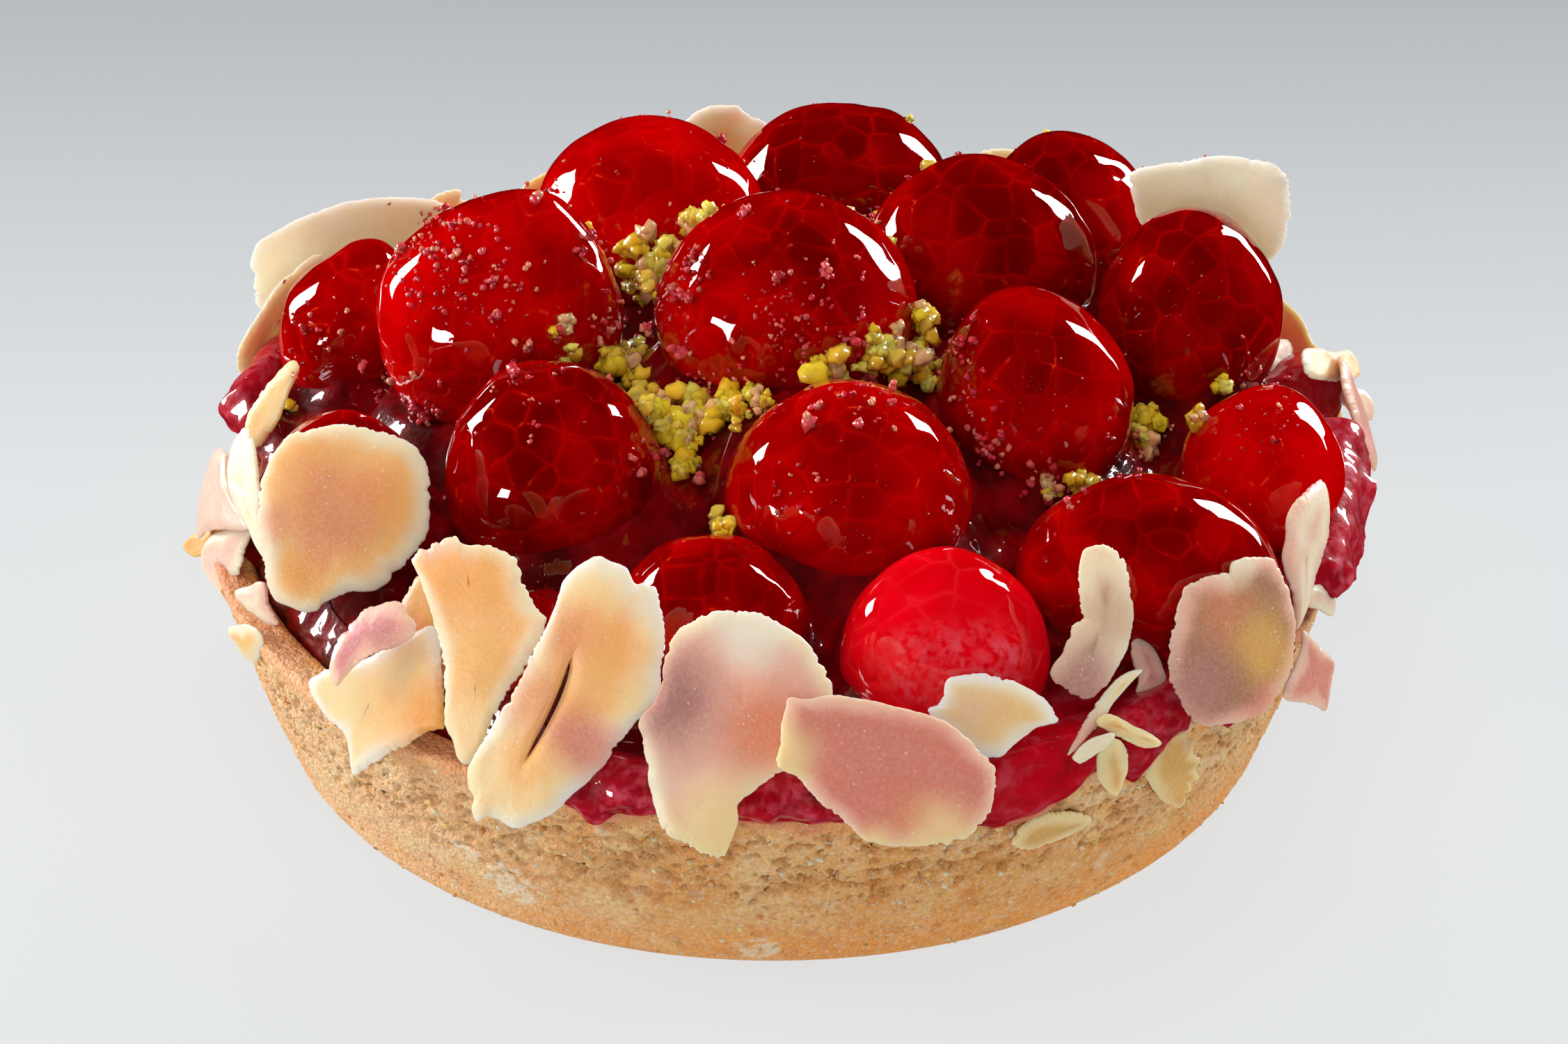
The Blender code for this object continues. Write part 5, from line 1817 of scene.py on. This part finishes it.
@dataclass
class Almonds:
    """All slices and chips of almond."""

    camera: Camera
    thickness: float = 0.65
    edge_points: int = 360
    outline_samples: int = 900
    slit_samples: int = 400
    smoothing: int = 35
    zone_edge: float = 0.8
    zone_core: float = 2.8
    back_flakes: int = 11
    bite: float = 0.17
    ring_scales: tuple[float, ...] = (0.988, 0.965, 0.92, 0.86, 0.78, 0.69, 0.59, 0.48, 0.36, 0.22, 0.08)

    def _superellipse(self, slice_: Slice) -> np.ndarray:
        """Outline by rule: |cos|, |sin| to the power 2 / square, tapered along its length.

        Args:
            slice_: The slice.

        Returns:
            Points across and along, with a few bites taken out of the edge.
        """
        turn = np.linspace(0, 2 * np.pi, self.edge_points, endpoint=False)
        circle = coords(np.cos(turn), np.sin(turn))
        across, along = (np.sign(circle) * np.abs(circle) ** (2.0 / slice_.square)).T
        x = 0.5 * slice_.width * across * (1 + slice_.taper * along)
        outline = coords(x, 0.5 * slice_.length * along)
        uneven = NOISE.layered(raised(outline, 9.0 * slice_.facing), 4.5, 2)
        return outline * (1 - self.bite * smooth_step(uneven, 0.05, 0.4))[:, None]

    def _on_plane(self, pixels: Sequence[float], middle: np.ndarray, axes: np.ndarray) -> np.ndarray:
        """Where sight lines meet a slice's plane.

        Args:
            pixels: Across and down in turn.
            middle: The slice's middle.
            axes: Its axes as rows.

        Returns:
            Places across and along the plane.
        """
        ways = self.camera.rays(np.array(pixels, dtype=float).reshape(-1, 2))
        start = self.camera.place - middle
        reach = -(start @ axes[2]) / (ways @ axes[2])
        meet = start + ways * reach[:, None]
        return coords(meet @ axes[0], meet @ axes[1])

    def _paired(self, outline: np.ndarray, keep: float) -> tuple[np.ndarray, np.ndarray]:
        """Spaces both sides of an outline alike, and gives the middle line that its points shrink to.

        Args:
            outline: Points from the top, an even number.
            keep: Length of the middle line as a share of the outline's.

        Returns:
            The outline, its point k facing point -k, and each point's place on the middle line.
        """
        low = int(np.argmin(outline[:, 1]))
        part = np.linspace(0, 1, len(outline) // 2 + 1)
        sides = []
        for side in (outline[: low + 1], np.vstack([outline[low:], outline[:1]])[::-1]):
            length = lengths(side)
            sides.append(read_along(np.linspace(0, length[-1], len(part)), length, side))
        line = 0.5 * (sides[0] + sides[1])
        ends = self.smoothing // 2
        padded = np.pad(line, ((ends, ends), (0, 0)), mode="edge")
        even = np.full(self.smoothing, 1 / self.smoothing)
        line = coords(*(np.convolve(axis, even, "valid") for axis in padded.T))
        place = read_along(0.5 + (part - 0.5) * keep, part, line)
        if keep <= 0.5:
            place = np.linspace(place[0], place[-1], len(part))
        return np.vstack([sides[0], sides[1][-2:0:-1]]), np.vstack([place, place[-2:0:-1]])

    def _sheet(self, slice_: Slice, middle: np.ndarray) -> Sheet:
        """Rings of a slice, its outline drawn in towards its middle line or towards its slit.

        Args:
            slice_: The slice.
            middle: Where its middle is.

        Returns:
            The rings, with a finely ragged edge.
        """
        axes = slice_.axes()
        if slice_.outline:
            knots = self._on_plane(slice_.outline, middle, axes)
        else:
            knots = self._superellipse(slice_)
        outline = even_loop(spline(knots, self.outline_samples, closed=True), self.edge_points)
        centre = outline.mean(axis=0)
        half = np.abs(outline - centre).max(axis=0)
        drawn = np.array(self.ring_scales)
        upper = np.ones(len(drawn))
        if slice_.slit:
            knots = self._on_plane(slice_.slit, middle, axes)
            heart = even_loop(spline(knots, self.slit_samples, closed=True), self.edge_points)
            shares = np.hstack([1.0, drawn, 0.0, drawn[::-1]])
            sides = np.hstack([0.0, upper, 0.0, -upper])
        else:
            outline, heart = self._paired(outline, float(np.clip(1 - half[0] / half[1], 0.1, 0.75)))
            shares = np.hstack([0.0, drawn[::-1], 1.0, drawn, 0.0])
            sides = np.hstack([-1.0, -upper, 0.0, upper, 1.0])
        spot = raised(outline, 7.0 * slice_.length)
        fray = smooth_step(NOISE.smooth(spot + 50.0, 4.0), -0.4, 0.5)
        ragged = 0.2 * NOISE.layered(spot, 2.1, 3) - (0.1 + 0.5 * fray) * np.abs(NOISE.layered(spot, 0.8, 3))
        reach = outline - heart
        flat = heart + reach * shares[:, None, None]
        flat = flat + (unit(reach) * ragged[:, None]) * (shares**6)[:, None, None]
        depth = (1 - shares)[:, None] * np.linalg.norm(reach, axis=1)
        return Sheet(flat, depth, shares, sides, centre, half)

    def skin(self, slice_: Slice, middle: np.ndarray) -> Skin:
        """Thin slice with a finely ragged edge.

        Args:
            slice_: The slice.
            middle: Where its middle is.

        Returns:
            The surface with its tint.
        """
        sheet = self._sheet(slice_, middle)
        rings = raised(sheet.flat, self._heights(slice_, sheet))
        tint = self._tint(slice_, sheet)
        # Painted light and shade: the inner side keeps its pale tints, and the outer side takes the darker
        # outer tint.
        if slice_.outer:
            tint = blend(tint, slice_.outer.light(), (sheet.sides > 0)[:, None])
        values = {"tint": tint.reshape(-1, 3)}
        if slice_.slit:
            skin = Skin.looped(rings)
            skin.values = values
        else:
            skin = Skin.folded(rings, values)
        skin.points = skin.points @ slice_.axes() + middle
        return skin.outward()

    def _heights(self, slice_: Slice, sheet: Sheet) -> np.ndarray:
        """Heights of a slice's points over its plane: cup, waves and half the thickness (1 - s^26)^0.5.

        Args:
            slice_: The slice.
            sheet: Its rings, each keeping the share s of the outline.

        Returns:
            The heights in millimetres.
        """
        place = (sheet.flat - sheet.middle) / sheet.half
        spot = raised(sheet.flat, 3.0 * slice_.width)
        cup = slice_.cup * (0.3 - 0.5 * (place[..., 0] ** 2 + 0.6 * place[..., 1] ** 2))
        wave = 0.22 * NOISE.smooth(spot, 5.0) + 0.05 * NOISE.layered(spot, 1.4, 2)
        full = 0.5 * self.thickness * np.sqrt(1 - sheet.shares**26) * sheet.sides
        uneven = 1 + 0.25 * NOISE.smooth(spot + 40.0, 3.0)
        return cup + wave + full[:, None] * uneven * (0.5 + 0.5 * smooth_step(sheet.depth, 0.0, 0.9))

    def _tint(self, slice_: Slice, sheet: Sheet) -> np.ndarray:
        """Colours of a slice: rim, band and core zones by distance from the edge, then the stains.

        Args:
            slice_: The slice.
            sheet: Its rings.

        Returns:
            Linear colour of each point.
        """
        ragged = 0.8 * NOISE.layered(raised(sheet.flat, 5.0 * slice_.length), 4.0, 3)
        rim, band, core = (tint.light() for tint in slice_.tints)
        share = smooth_step(sheet.depth + ragged, self.zone_edge * 0.2, self.zone_edge * 2.2)
        colour = blend(rim, band, share)
        share = smooth_step(sheet.depth + 1.4 * ragged, self.zone_core * 0.5, self.zone_core * 1.6)
        colour = blend(colour, core, share)
        for stain in slice_.stains:
            away = sheet.flat - sheet.middle - np.array([stain.across, stain.along]) * sheet.half
            soft = np.linalg.norm(away, axis=-1) + 0.9 * ragged
            share = stain.strength * (1 - smooth_step(soft, 0.2 * stain.reach, 1.45 * stain.reach))
            colour = blend(colour, stain.tint.light(), share)
        return colour

    def back_slices(self) -> list[Slice]:
        """Slices of the side that lies behind, with their packed turns read off the solids.

        Returns:
            The slices.
        """
        draw = np.random.default_rng(SEED + 5)
        made = []
        for number in range(1, self.back_flakes + 1):
            tints = BACK_TINTS[int(draw.integers(len(BACK_TINTS)))]
            across, along, strength = draw.uniform([-0.6, -0.8, 0.0], [0.6, 0.2, 0.8]).tolist()
            stain = Stain(across, along, 3.0, ROSE, strength)
            made.append(self._from_solid("flake_back_%02d" % number, tints, stain))
        return made

    @staticmethod
    def _from_solid(name: str, tints: tuple[Tint, Tint, Tint], stain: Stain) -> Slice:
        """Slice that lies like a packed one, by the solid's normal and its longest way.

        Args:
            name: Its node.
            tints: Colours of its zones.
            stain: Its stain.

        Returns:
            The slice.
        """
        points = packed_points(name)
        middle = points.mean(axis=0)
        along, _, normal = np.linalg.svd(points - middle, full_matrices=False)[2]
        if normal @ (middle * np.array([1.0, 1.0, 0.0])) < 0:
            normal = -normal
        facing = math.degrees(math.atan2(normal[0], -normal[1]))
        lean = math.degrees(math.asin(normal[2]))
        across, up, _ = Slice(name, facing, lean, 0.0, 1.0, 1.0).axes()
        spin = math.degrees(math.atan2(along @ -across, along @ up))
        reach = (points - middle) @ np.stack([np.cross(along, normal), along]).T
        width, length = (float(size) for size in reach.max(axis=0) - reach.min(axis=0))
        return Slice(name, facing, lean, spin, length, width, 0.15, square=2.3, tints=tints, stains=(stain,))

    def make(self, carriers: BVHTree) -> list[Skin]:
        """Adds every slice, and the chips where the sight lines meet what carries them.

        Args:
            carriers: Search tree over the case, the glaze and the berries.

        Returns:
            The surfaces.
        """
        finish = AlmondSlice().make()
        skins = []
        for slice_ in list(SLICES) + self.back_slices():
            axes = slice_.axes()
            own = packed_points(slice_.name) @ axes.T
            skins.append(self.skin(slice_, (own.min(axis=0) + own.max(axis=0)) / 2 @ axes))
            add_piece(slice_.name + "_slice", skins[-1], finish, [slice_.name])
        for chip in CHIPS:
            way = self.camera.rays(np.array([chip.carrier], dtype=float))[0]
            spot = carriers.ray_cast(Vector(self.camera.place), Vector(way))[0]
            if spot is None:
                log.warning("%s meets nothing", chip.name)
                continue
            skins.append(self.skin(chip, np.array(spot) + chip.axes()[2] * chip.lift))
            add_piece(chip.name, skins[-1], finish)
        return skins


# Crumbs


class Kind(Enum):
    """Kinds of crumb."""

    PISTACHIO = "pistachio"
    SUGAR = "sugar"
    BEAD = "bead"
    PASTRY = "pastry"


@dataclass(frozen=True)
class Heap:
    """Crumbs strewn round a pixel: spread in pixels, how many, sizes in millimetres, how high they pile."""

    across: float
    down: float
    spread: float
    count: int
    small: float
    large: float
    pile: float = 0.0


@dataclass(frozen=True)
class Recipe:
    """How one kind of crumb is made: colours, balls in each, slot, gloss, and how many lie behind."""

    colours: tuple[tuple[int, int, int], ...]
    balls: int
    finer: bool
    slot: str
    roughness: float
    coat: float
    behind: int = 0
    sizes_behind: tuple[float, float] = (0.0, 0.0)
    swell: float = 1.0
    dust: float = 0.15
    dents: float = 0.38


RECIPES = {
    Kind.PISTACHIO: Recipe(
        ((255, 214, 40), (255, 196, 34), (255, 232, 96), (248, 196, 50), (255, 208, 74), (250, 186, 128)),
        2, True, "toasted_almond", 0.3, 0.8, 46, (0.3, 0.6), 1.34, 0.12, 0.36,
    ),
    Kind.SUGAR: Recipe(
        ((226, 52, 72), (240, 104, 92), (206, 30, 56), (242, 140, 112), (180, 14, 38), (226, 74, 84)),
        2, False, "toasted_almond", 0.35, 0.6, 420, (0.08, 0.4), 1.1, 0.06,
    ),
    Kind.BEAD: Recipe(
        ((150, 10, 24), (190, 60, 70), (120, 0, 8)),
        1, False, "red_glaze", 0.15, 1.0, 300, (0.05, 0.13), dents=0.05,
    ),
    Kind.PASTRY: Recipe(
        ((240, 196, 136), (226, 166, 96), (236, 214, 176), (204, 136, 70), (230, 180, 110)),
        1, False, "shortcrust", 0.7, 0.0,
    ),
}

HEAPS = {
    Kind.PISTACHIO: (
        Heap(992, 319, 12, 9, 0.35, 0.75, 0.5), Heap(940, 352, 26, 22, 0.35, 0.8, 0.8),
        Heap(925, 403, 22, 14, 0.3, 0.75, 0.7), Heap(904, 512, 12, 9, 0.35, 0.7, 0.4),
        Heap(866, 512, 14, 12, 0.35, 0.7, 0.4), Heap(912, 548, 14, 12, 0.3, 0.7, 0.4),
        Heap(806, 470, 12, 5, 0.3, 0.5, 0.2), Heap(818, 508, 10, 4, 0.3, 0.5, 0.2),
        Heap(938, 600, 18, 18, 0.35, 0.75, 0.6), Heap(975, 628, 20, 24, 0.35, 0.8, 1.0),
        Heap(1006, 608, 20, 24, 0.35, 0.8, 1.0), Heap(978, 668, 16, 18, 0.35, 0.75, 0.7),
        Heap(1052, 592, 18, 20, 0.35, 0.8, 0.8), Heap(1090, 580, 16, 16, 0.3, 0.65, 0.7),
        Heap(1185, 524, 16, 14, 0.35, 0.75, 0.6), Heap(1256, 508, 22, 24, 0.4, 0.85, 1.1),
        Heap(1300, 512, 20, 22, 0.35, 0.8, 1.0), Heap(1318, 466, 12, 10, 0.4, 0.75, 0.7),
        Heap(1330, 545, 16, 16, 0.3, 0.65, 0.6), Heap(1040, 762, 8, 6, 0.3, 0.6, 0.3),
        Heap(1549, 686, 14, 10, 0.35, 0.65, 0.5), Heap(1508, 700, 9, 6, 0.3, 0.55, 0.3),
        Heap(1656, 604, 16, 14, 0.35, 0.75, 0.6), Heap(1642, 634, 12, 9, 0.3, 0.6, 0.4),
        Heap(1756, 548, 8, 5, 0.3, 0.55, 0.2), Heap(1724, 604, 8, 4, 0.4, 0.7, 0.2),
        Heap(661, 275, 5, 3, 0.3, 0.5, 0.1), Heap(426, 584, 5, 3, 0.3, 0.5, 0.1),
    ),
    Kind.SUGAR: (
        Heap(640, 330, 55, 60, 0.1, 0.32), Heap(700, 430, 60, 46, 0.1, 0.35),
        Heap(600, 400, 40, 24, 0.1, 0.3), Heap(560, 560, 34, 18, 0.12, 0.35),
        Heap(970, 420, 26, 34, 0.12, 0.36), Heap(1000, 380, 16, 20, 0.12, 0.34),
        Heap(1130, 480, 50, 40, 0.1, 0.3), Heap(1230, 540, 60, 56, 0.12, 0.36),
        Heap(1020, 560, 50, 40, 0.12, 0.36), Heap(960, 640, 34, 34, 0.12, 0.36),
        Heap(1370, 500, 34, 30, 0.1, 0.32), Heap(1420, 640, 34, 22, 0.12, 0.36),
        Heap(1400, 560, 30, 18, 0.1, 0.3), Heap(1530, 700, 44, 30, 0.12, 0.38),
        Heap(1640, 640, 34, 22, 0.12, 0.34), Heap(880, 460, 30, 26, 0.1, 0.32),
        Heap(760, 560, 60, 18, 0.1, 0.28), Heap(450, 480, 50, 22, 0.1, 0.34),
        Heap(1160, 400, 70, 24, 0.1, 0.28), Heap(1140, 700, 80, 20, 0.1, 0.26),
        Heap(1800, 560, 50, 22, 0.1, 0.3), Heap(820, 240, 70, 18, 0.1, 0.26),
        Heap(620, 590, 26, 12, 0.15, 0.42),
        *(
            Heap(x, y, 4, 3, 0.3, 0.55, 0.3)
            for x, y in (
                (834, 362), (711, 449), (767, 289), (708, 406), (756, 496), (800, 473), (742, 542),
                (1189, 397), (1068, 309), (1118, 401), (594, 581), (612, 606), (1221, 489), (1163, 612),
                (1250, 536), (1278, 538), (1305, 545), (917, 682), (1010, 690), (520, 520), (578, 362),
                (1515, 705), (1720, 596), (1428, 648), (840, 340), (980, 500), (940, 470),
            )
        ),
    ),
    Kind.BEAD: (
        Heap(1120, 450, 60, 40, 0.05, 0.13), Heap(1230, 730, 60, 36, 0.05, 0.12),
        Heap(1480, 560, 60, 40, 0.05, 0.13), Heap(650, 380, 70, 50, 0.05, 0.14),
        Heap(780, 830, 40, 24, 0.05, 0.13), Heap(1700, 450, 60, 26, 0.05, 0.13),
        Heap(1820, 620, 50, 40, 0.05, 0.14), Heap(1500, 1030, 40, 30, 0.05, 0.13),
        Heap(1560, 870, 50, 20, 0.05, 0.12), Heap(450, 520, 60, 30, 0.05, 0.14),
        Heap(1100, 240, 90, 20, 0.05, 0.12),
    ),
}


@dataclass
class Crumbs:
    """Chopped pistachio, red sugar crumbs, beads of glaze and pastry grains, as joined meshes."""

    camera: Camera
    gathered: float = 0.62
    behind_middle: tuple[float, float] = (1113.0, 560.0)
    behind_spread: tuple[float, float] = (280.0, 165.0)
    lowest: float = 15.0
    hidden: float = -0.05
    foremost: float = -15.0
    proud: float = 0.55
    grains: int = 6000
    grain_sizes: tuple[float, float] = (0.1, 0.34)
    far: float = 70.0
    wall_top: float = 17.4
    wall_band: tuple[float, float] = (12.0, 2.6)

    @staticmethod
    def ball(finer: bool) -> tuple[np.ndarray, np.ndarray]:
        """Twenty-sided ball, or the same with each side cut in four.

        Args:
            finer: Whether the sides are cut.

        Returns:
            Points on the unit sphere, and triangles.
        """
        golden = (1 + 5**0.5) / 2
        corners = [(0, a, b * golden) for a, b in product((-1, 1), repeat=2)]
        points = unit(np.array([np.roll(corner, turn) for turn in range(3) for corner in corners]))
        apart = np.linalg.norm(points[:, None] - points[None], axis=2)
        near = (apart > 0.1) & (apart < 1.1)
        sides = combinations(range(len(points)), 3)
        threes = np.array([(a, b, c) for a, b, c in sides if near[a, b] and near[b, c] and near[a, c]])
        if finer:
            a, b, c = (points[corner] for corner in threes.T)
            ab, bc, ca = np.arange(3 * len(threes)).reshape(3, -1) + len(points)
            points = np.vstack([points, unit(np.vstack([a + b, b + c, c + a]))])
            first, second, third = threes.T
            quarters = [(first, ab, ca), (ab, second, bc), (ca, bc, third), (ab, bc, ca)]
            threes = np.vstack([coords(*quarter) for quarter in quarters])
            _, kept, index = np.unique(points.round(6), axis=0, return_index=True, return_inverse=True)
            points, threes = points[kept], index.reshape(-1)[threes]
        a, b, c = (points[corner] for corner in threes.T)
        inward = np.sum(a * np.cross(b, c), axis=1) < 0
        threes[inward] = threes[inward][:, ::-1]
        return points, threes

    def _strewn(
        self, recipe: Recipe, places: np.ndarray, sizes: np.ndarray, draw: np.random.Generator
    ) -> Skin:
        """Joins uneven balls for all places, each turned, stretched and tinted its own way.

        Args:
            recipe: How the crumbs are made.
            places: Their middles.
            sizes: Their radii.
            draw: Source of the random draws.

        Returns:
            The surface with its tint.
        """
        points, threes = self.ball(recipe.finer)
        colours = np.array([linear(*colour) for colour in recipe.colours])
        shade = np.repeat(draw.integers(len(colours), size=len(places)), recipe.balls)
        if recipe.balls > 1:
            places, sizes = np.repeat(places, recipe.balls, axis=0), np.repeat(sizes, recipe.balls)
            places = places + draw.normal(size=places.shape) * 0.4 * sizes[:, None]
            sizes = sizes * draw.uniform(0.6, 0.95, size=len(sizes))
        count = len(places)
        turns = np.linalg.qr(draw.normal(size=(count, 3, 3)))[0]
        turns[np.linalg.det(turns) < 0] *= -1
        dents = 1 + recipe.dents * draw.uniform(-1, 1, size=(count, len(points), 1))
        stretch = draw.uniform(0.75, 1.2, size=(count, 1, 3))
        shaped = (points[None] * dents * stretch * sizes[:, None, None]) @ turns + places[:, None]
        faces = threes[None] + (np.arange(count) * len(points))[:, None, None]
        tint = colours[shade] * draw.uniform(0.85, 1.1, size=(count, 1))
        values = {"tint": np.repeat(tint, len(points), axis=0)}
        return Skin(shaped.reshape(-1, 3), np.zeros((0, 4), dtype=np.int64), faces.reshape(-1, 3), values)

    @staticmethod
    def _landings(
        tree: BVHTree, starts: np.ndarray, ways: np.ndarray
    ) -> tuple[np.ndarray, np.ndarray, np.ndarray]:
        """Sends lines at a tree.

        Args:
            tree: Search tree.
            starts: Where the lines start.
            ways: Their directions.

        Returns:
            Which lines meet it, where they do, and the surface's direction there, facing the start.
        """
        hits = [tree.ray_cast(Vector(start), Vector(way))[:2] for start, way in zip(starts, ways)]
        met = np.array([spot is not None for spot, _ in hits])
        spots = np.array([tuple(spot or (0.0, 0.0, 0.0)) for spot, _ in hits])
        outward = np.array([tuple(normal or (0.0, 0.0, 1.0)) for _, normal in hits])
        return met, spots, outward * np.sign(-np.sum(outward * ways, axis=1))[:, None]

    def _sown(self, kind: Kind, tree: BVHTree, draw: np.random.Generator) -> tuple[np.ndarray, np.ndarray]:
        """Places and sizes of one kind, most of them small: small + (large - small)u².

        Args:
            kind: The kind of crumb.
            tree: Search tree over what carries it.
            draw: Source of the random draws.

        Returns:
            Middles and radii.
        """
        recipe = RECIPES[kind]
        mirror = np.array([-1.0, -1.0, 1.0])
        behind = Heap(*self.behind_middle, 0.0, recipe.behind, *recipe.sizes_behind)
        places, sizes = [], []
        for heap in (*HEAPS[kind], behind):
            spread = self.behind_spread if heap is behind else self.gathered * heap.spread
            off = draw.normal(size=(heap.count, 2)) * spread
            ways, start = self.camera.rays(np.array([heap.across, heap.down]) + off), self.camera.place
            part = draw.uniform(size=heap.count) ** 2
            size = (heap.small + (heap.large - heap.small) * part) * recipe.swell
            lift = draw.uniform(0, heap.pile + 1e-6, size=heap.count)
            if heap is behind:
                ways, start = ways * mirror, start * mirror
            met, spots, outward = self._landings(tree, np.broadcast_to(start, ways.shape), ways)
            met &= spots[:, 2] > self.lowest
            if heap is behind:
                seen = np.sum(outward * unit(self.camera.place - spots), axis=1)
                met &= (seen < self.hidden) & (spots[:, 1] > self.foremost)
            places.append((spots + outward * (self.proud * size + lift)[:, None])[met])
            sizes.append(size[met])
        return np.concatenate(places), np.concatenate(sizes)

    def _on_wall(self, tree: BVHTree, draw: np.random.Generator) -> tuple[np.ndarray, np.ndarray]:
        """Places and sizes of grains on the outer wall, half of them in the broken band below the rim.

        Args:
            tree: Search tree over the case.
            draw: Source of the random draws.

        Returns:
            Middles and radii.
        """
        turn = draw.uniform(0, 2 * np.pi, size=self.grains)
        low = draw.uniform(0.2, self.wall_top, size=self.grains)
        band = np.clip(draw.normal(*self.wall_band, size=self.grains), 0.5, self.wall_top)
        height = np.where(draw.uniform(size=self.grains) < 0.5, low, band)
        met, spots, outward = self._landings(tree, around(self.far, turn, height), -around(1.0, turn, 0.0))
        small, large = self.grain_sizes
        size = small + (large - small) * draw.uniform(size=self.grains) ** 3
        return (spots - outward * 0.45 * size[:, None])[met], size[met]

    def make(self, carriers: BVHTree, fruit: BVHTree, case: BVHTree) -> None:
        """Adds the crumbs where sight lines, and their mirror images from behind, meet the pieces.

        Args:
            carriers: Search tree over everything that can carry a crumb.
            fruit: Search tree over the glazed pieces alone, which carry the beads.
            case: Search tree over the pastry case, which carries its own grains.
        """
        for kind, recipe in RECIPES.items():
            draw = np.random.default_rng(SEED + 11 * len(kind.value))
            if kind is Kind.PASTRY:
                places, sizes = self._on_wall(case, draw)
            else:
                places, sizes = self._sown(kind, fruit if kind is Kind.BEAD else carriers, draw)
            finish = Crumb(kind.value + "_crumb", recipe.roughness, recipe.coat, recipe.dust).make()
            skin = self._strewn(recipe, places, sizes, draw)
            add_piece(kind.value + "_crumbs", skin, finish)


# Whole tartlet


def main() -> None:
    """Builds the tartlet's looks in order."""
    logging.basicConfig(level=logging.INFO, format="%(name)s %(message)s")
    camera = Camera()
    camera.make()
    Studio().make()
    case = PastryCase()
    case_skin = case.make()
    glaze_skin = Glaze(case).make()
    berry_skins = Raspberries().make()
    fruit = [glaze_skin, *berry_skins]
    almond_skins = Almonds(camera).make(Skin.joined([case_skin, *fruit]).tree())
    carriers = Skin.joined([case_skin, *fruit, *almond_skins])
    Crumbs(camera).make(carriers.tree(), Skin.joined(fruit).tree(), case_skin.tree())


if __name__ == "__main__":
    main()
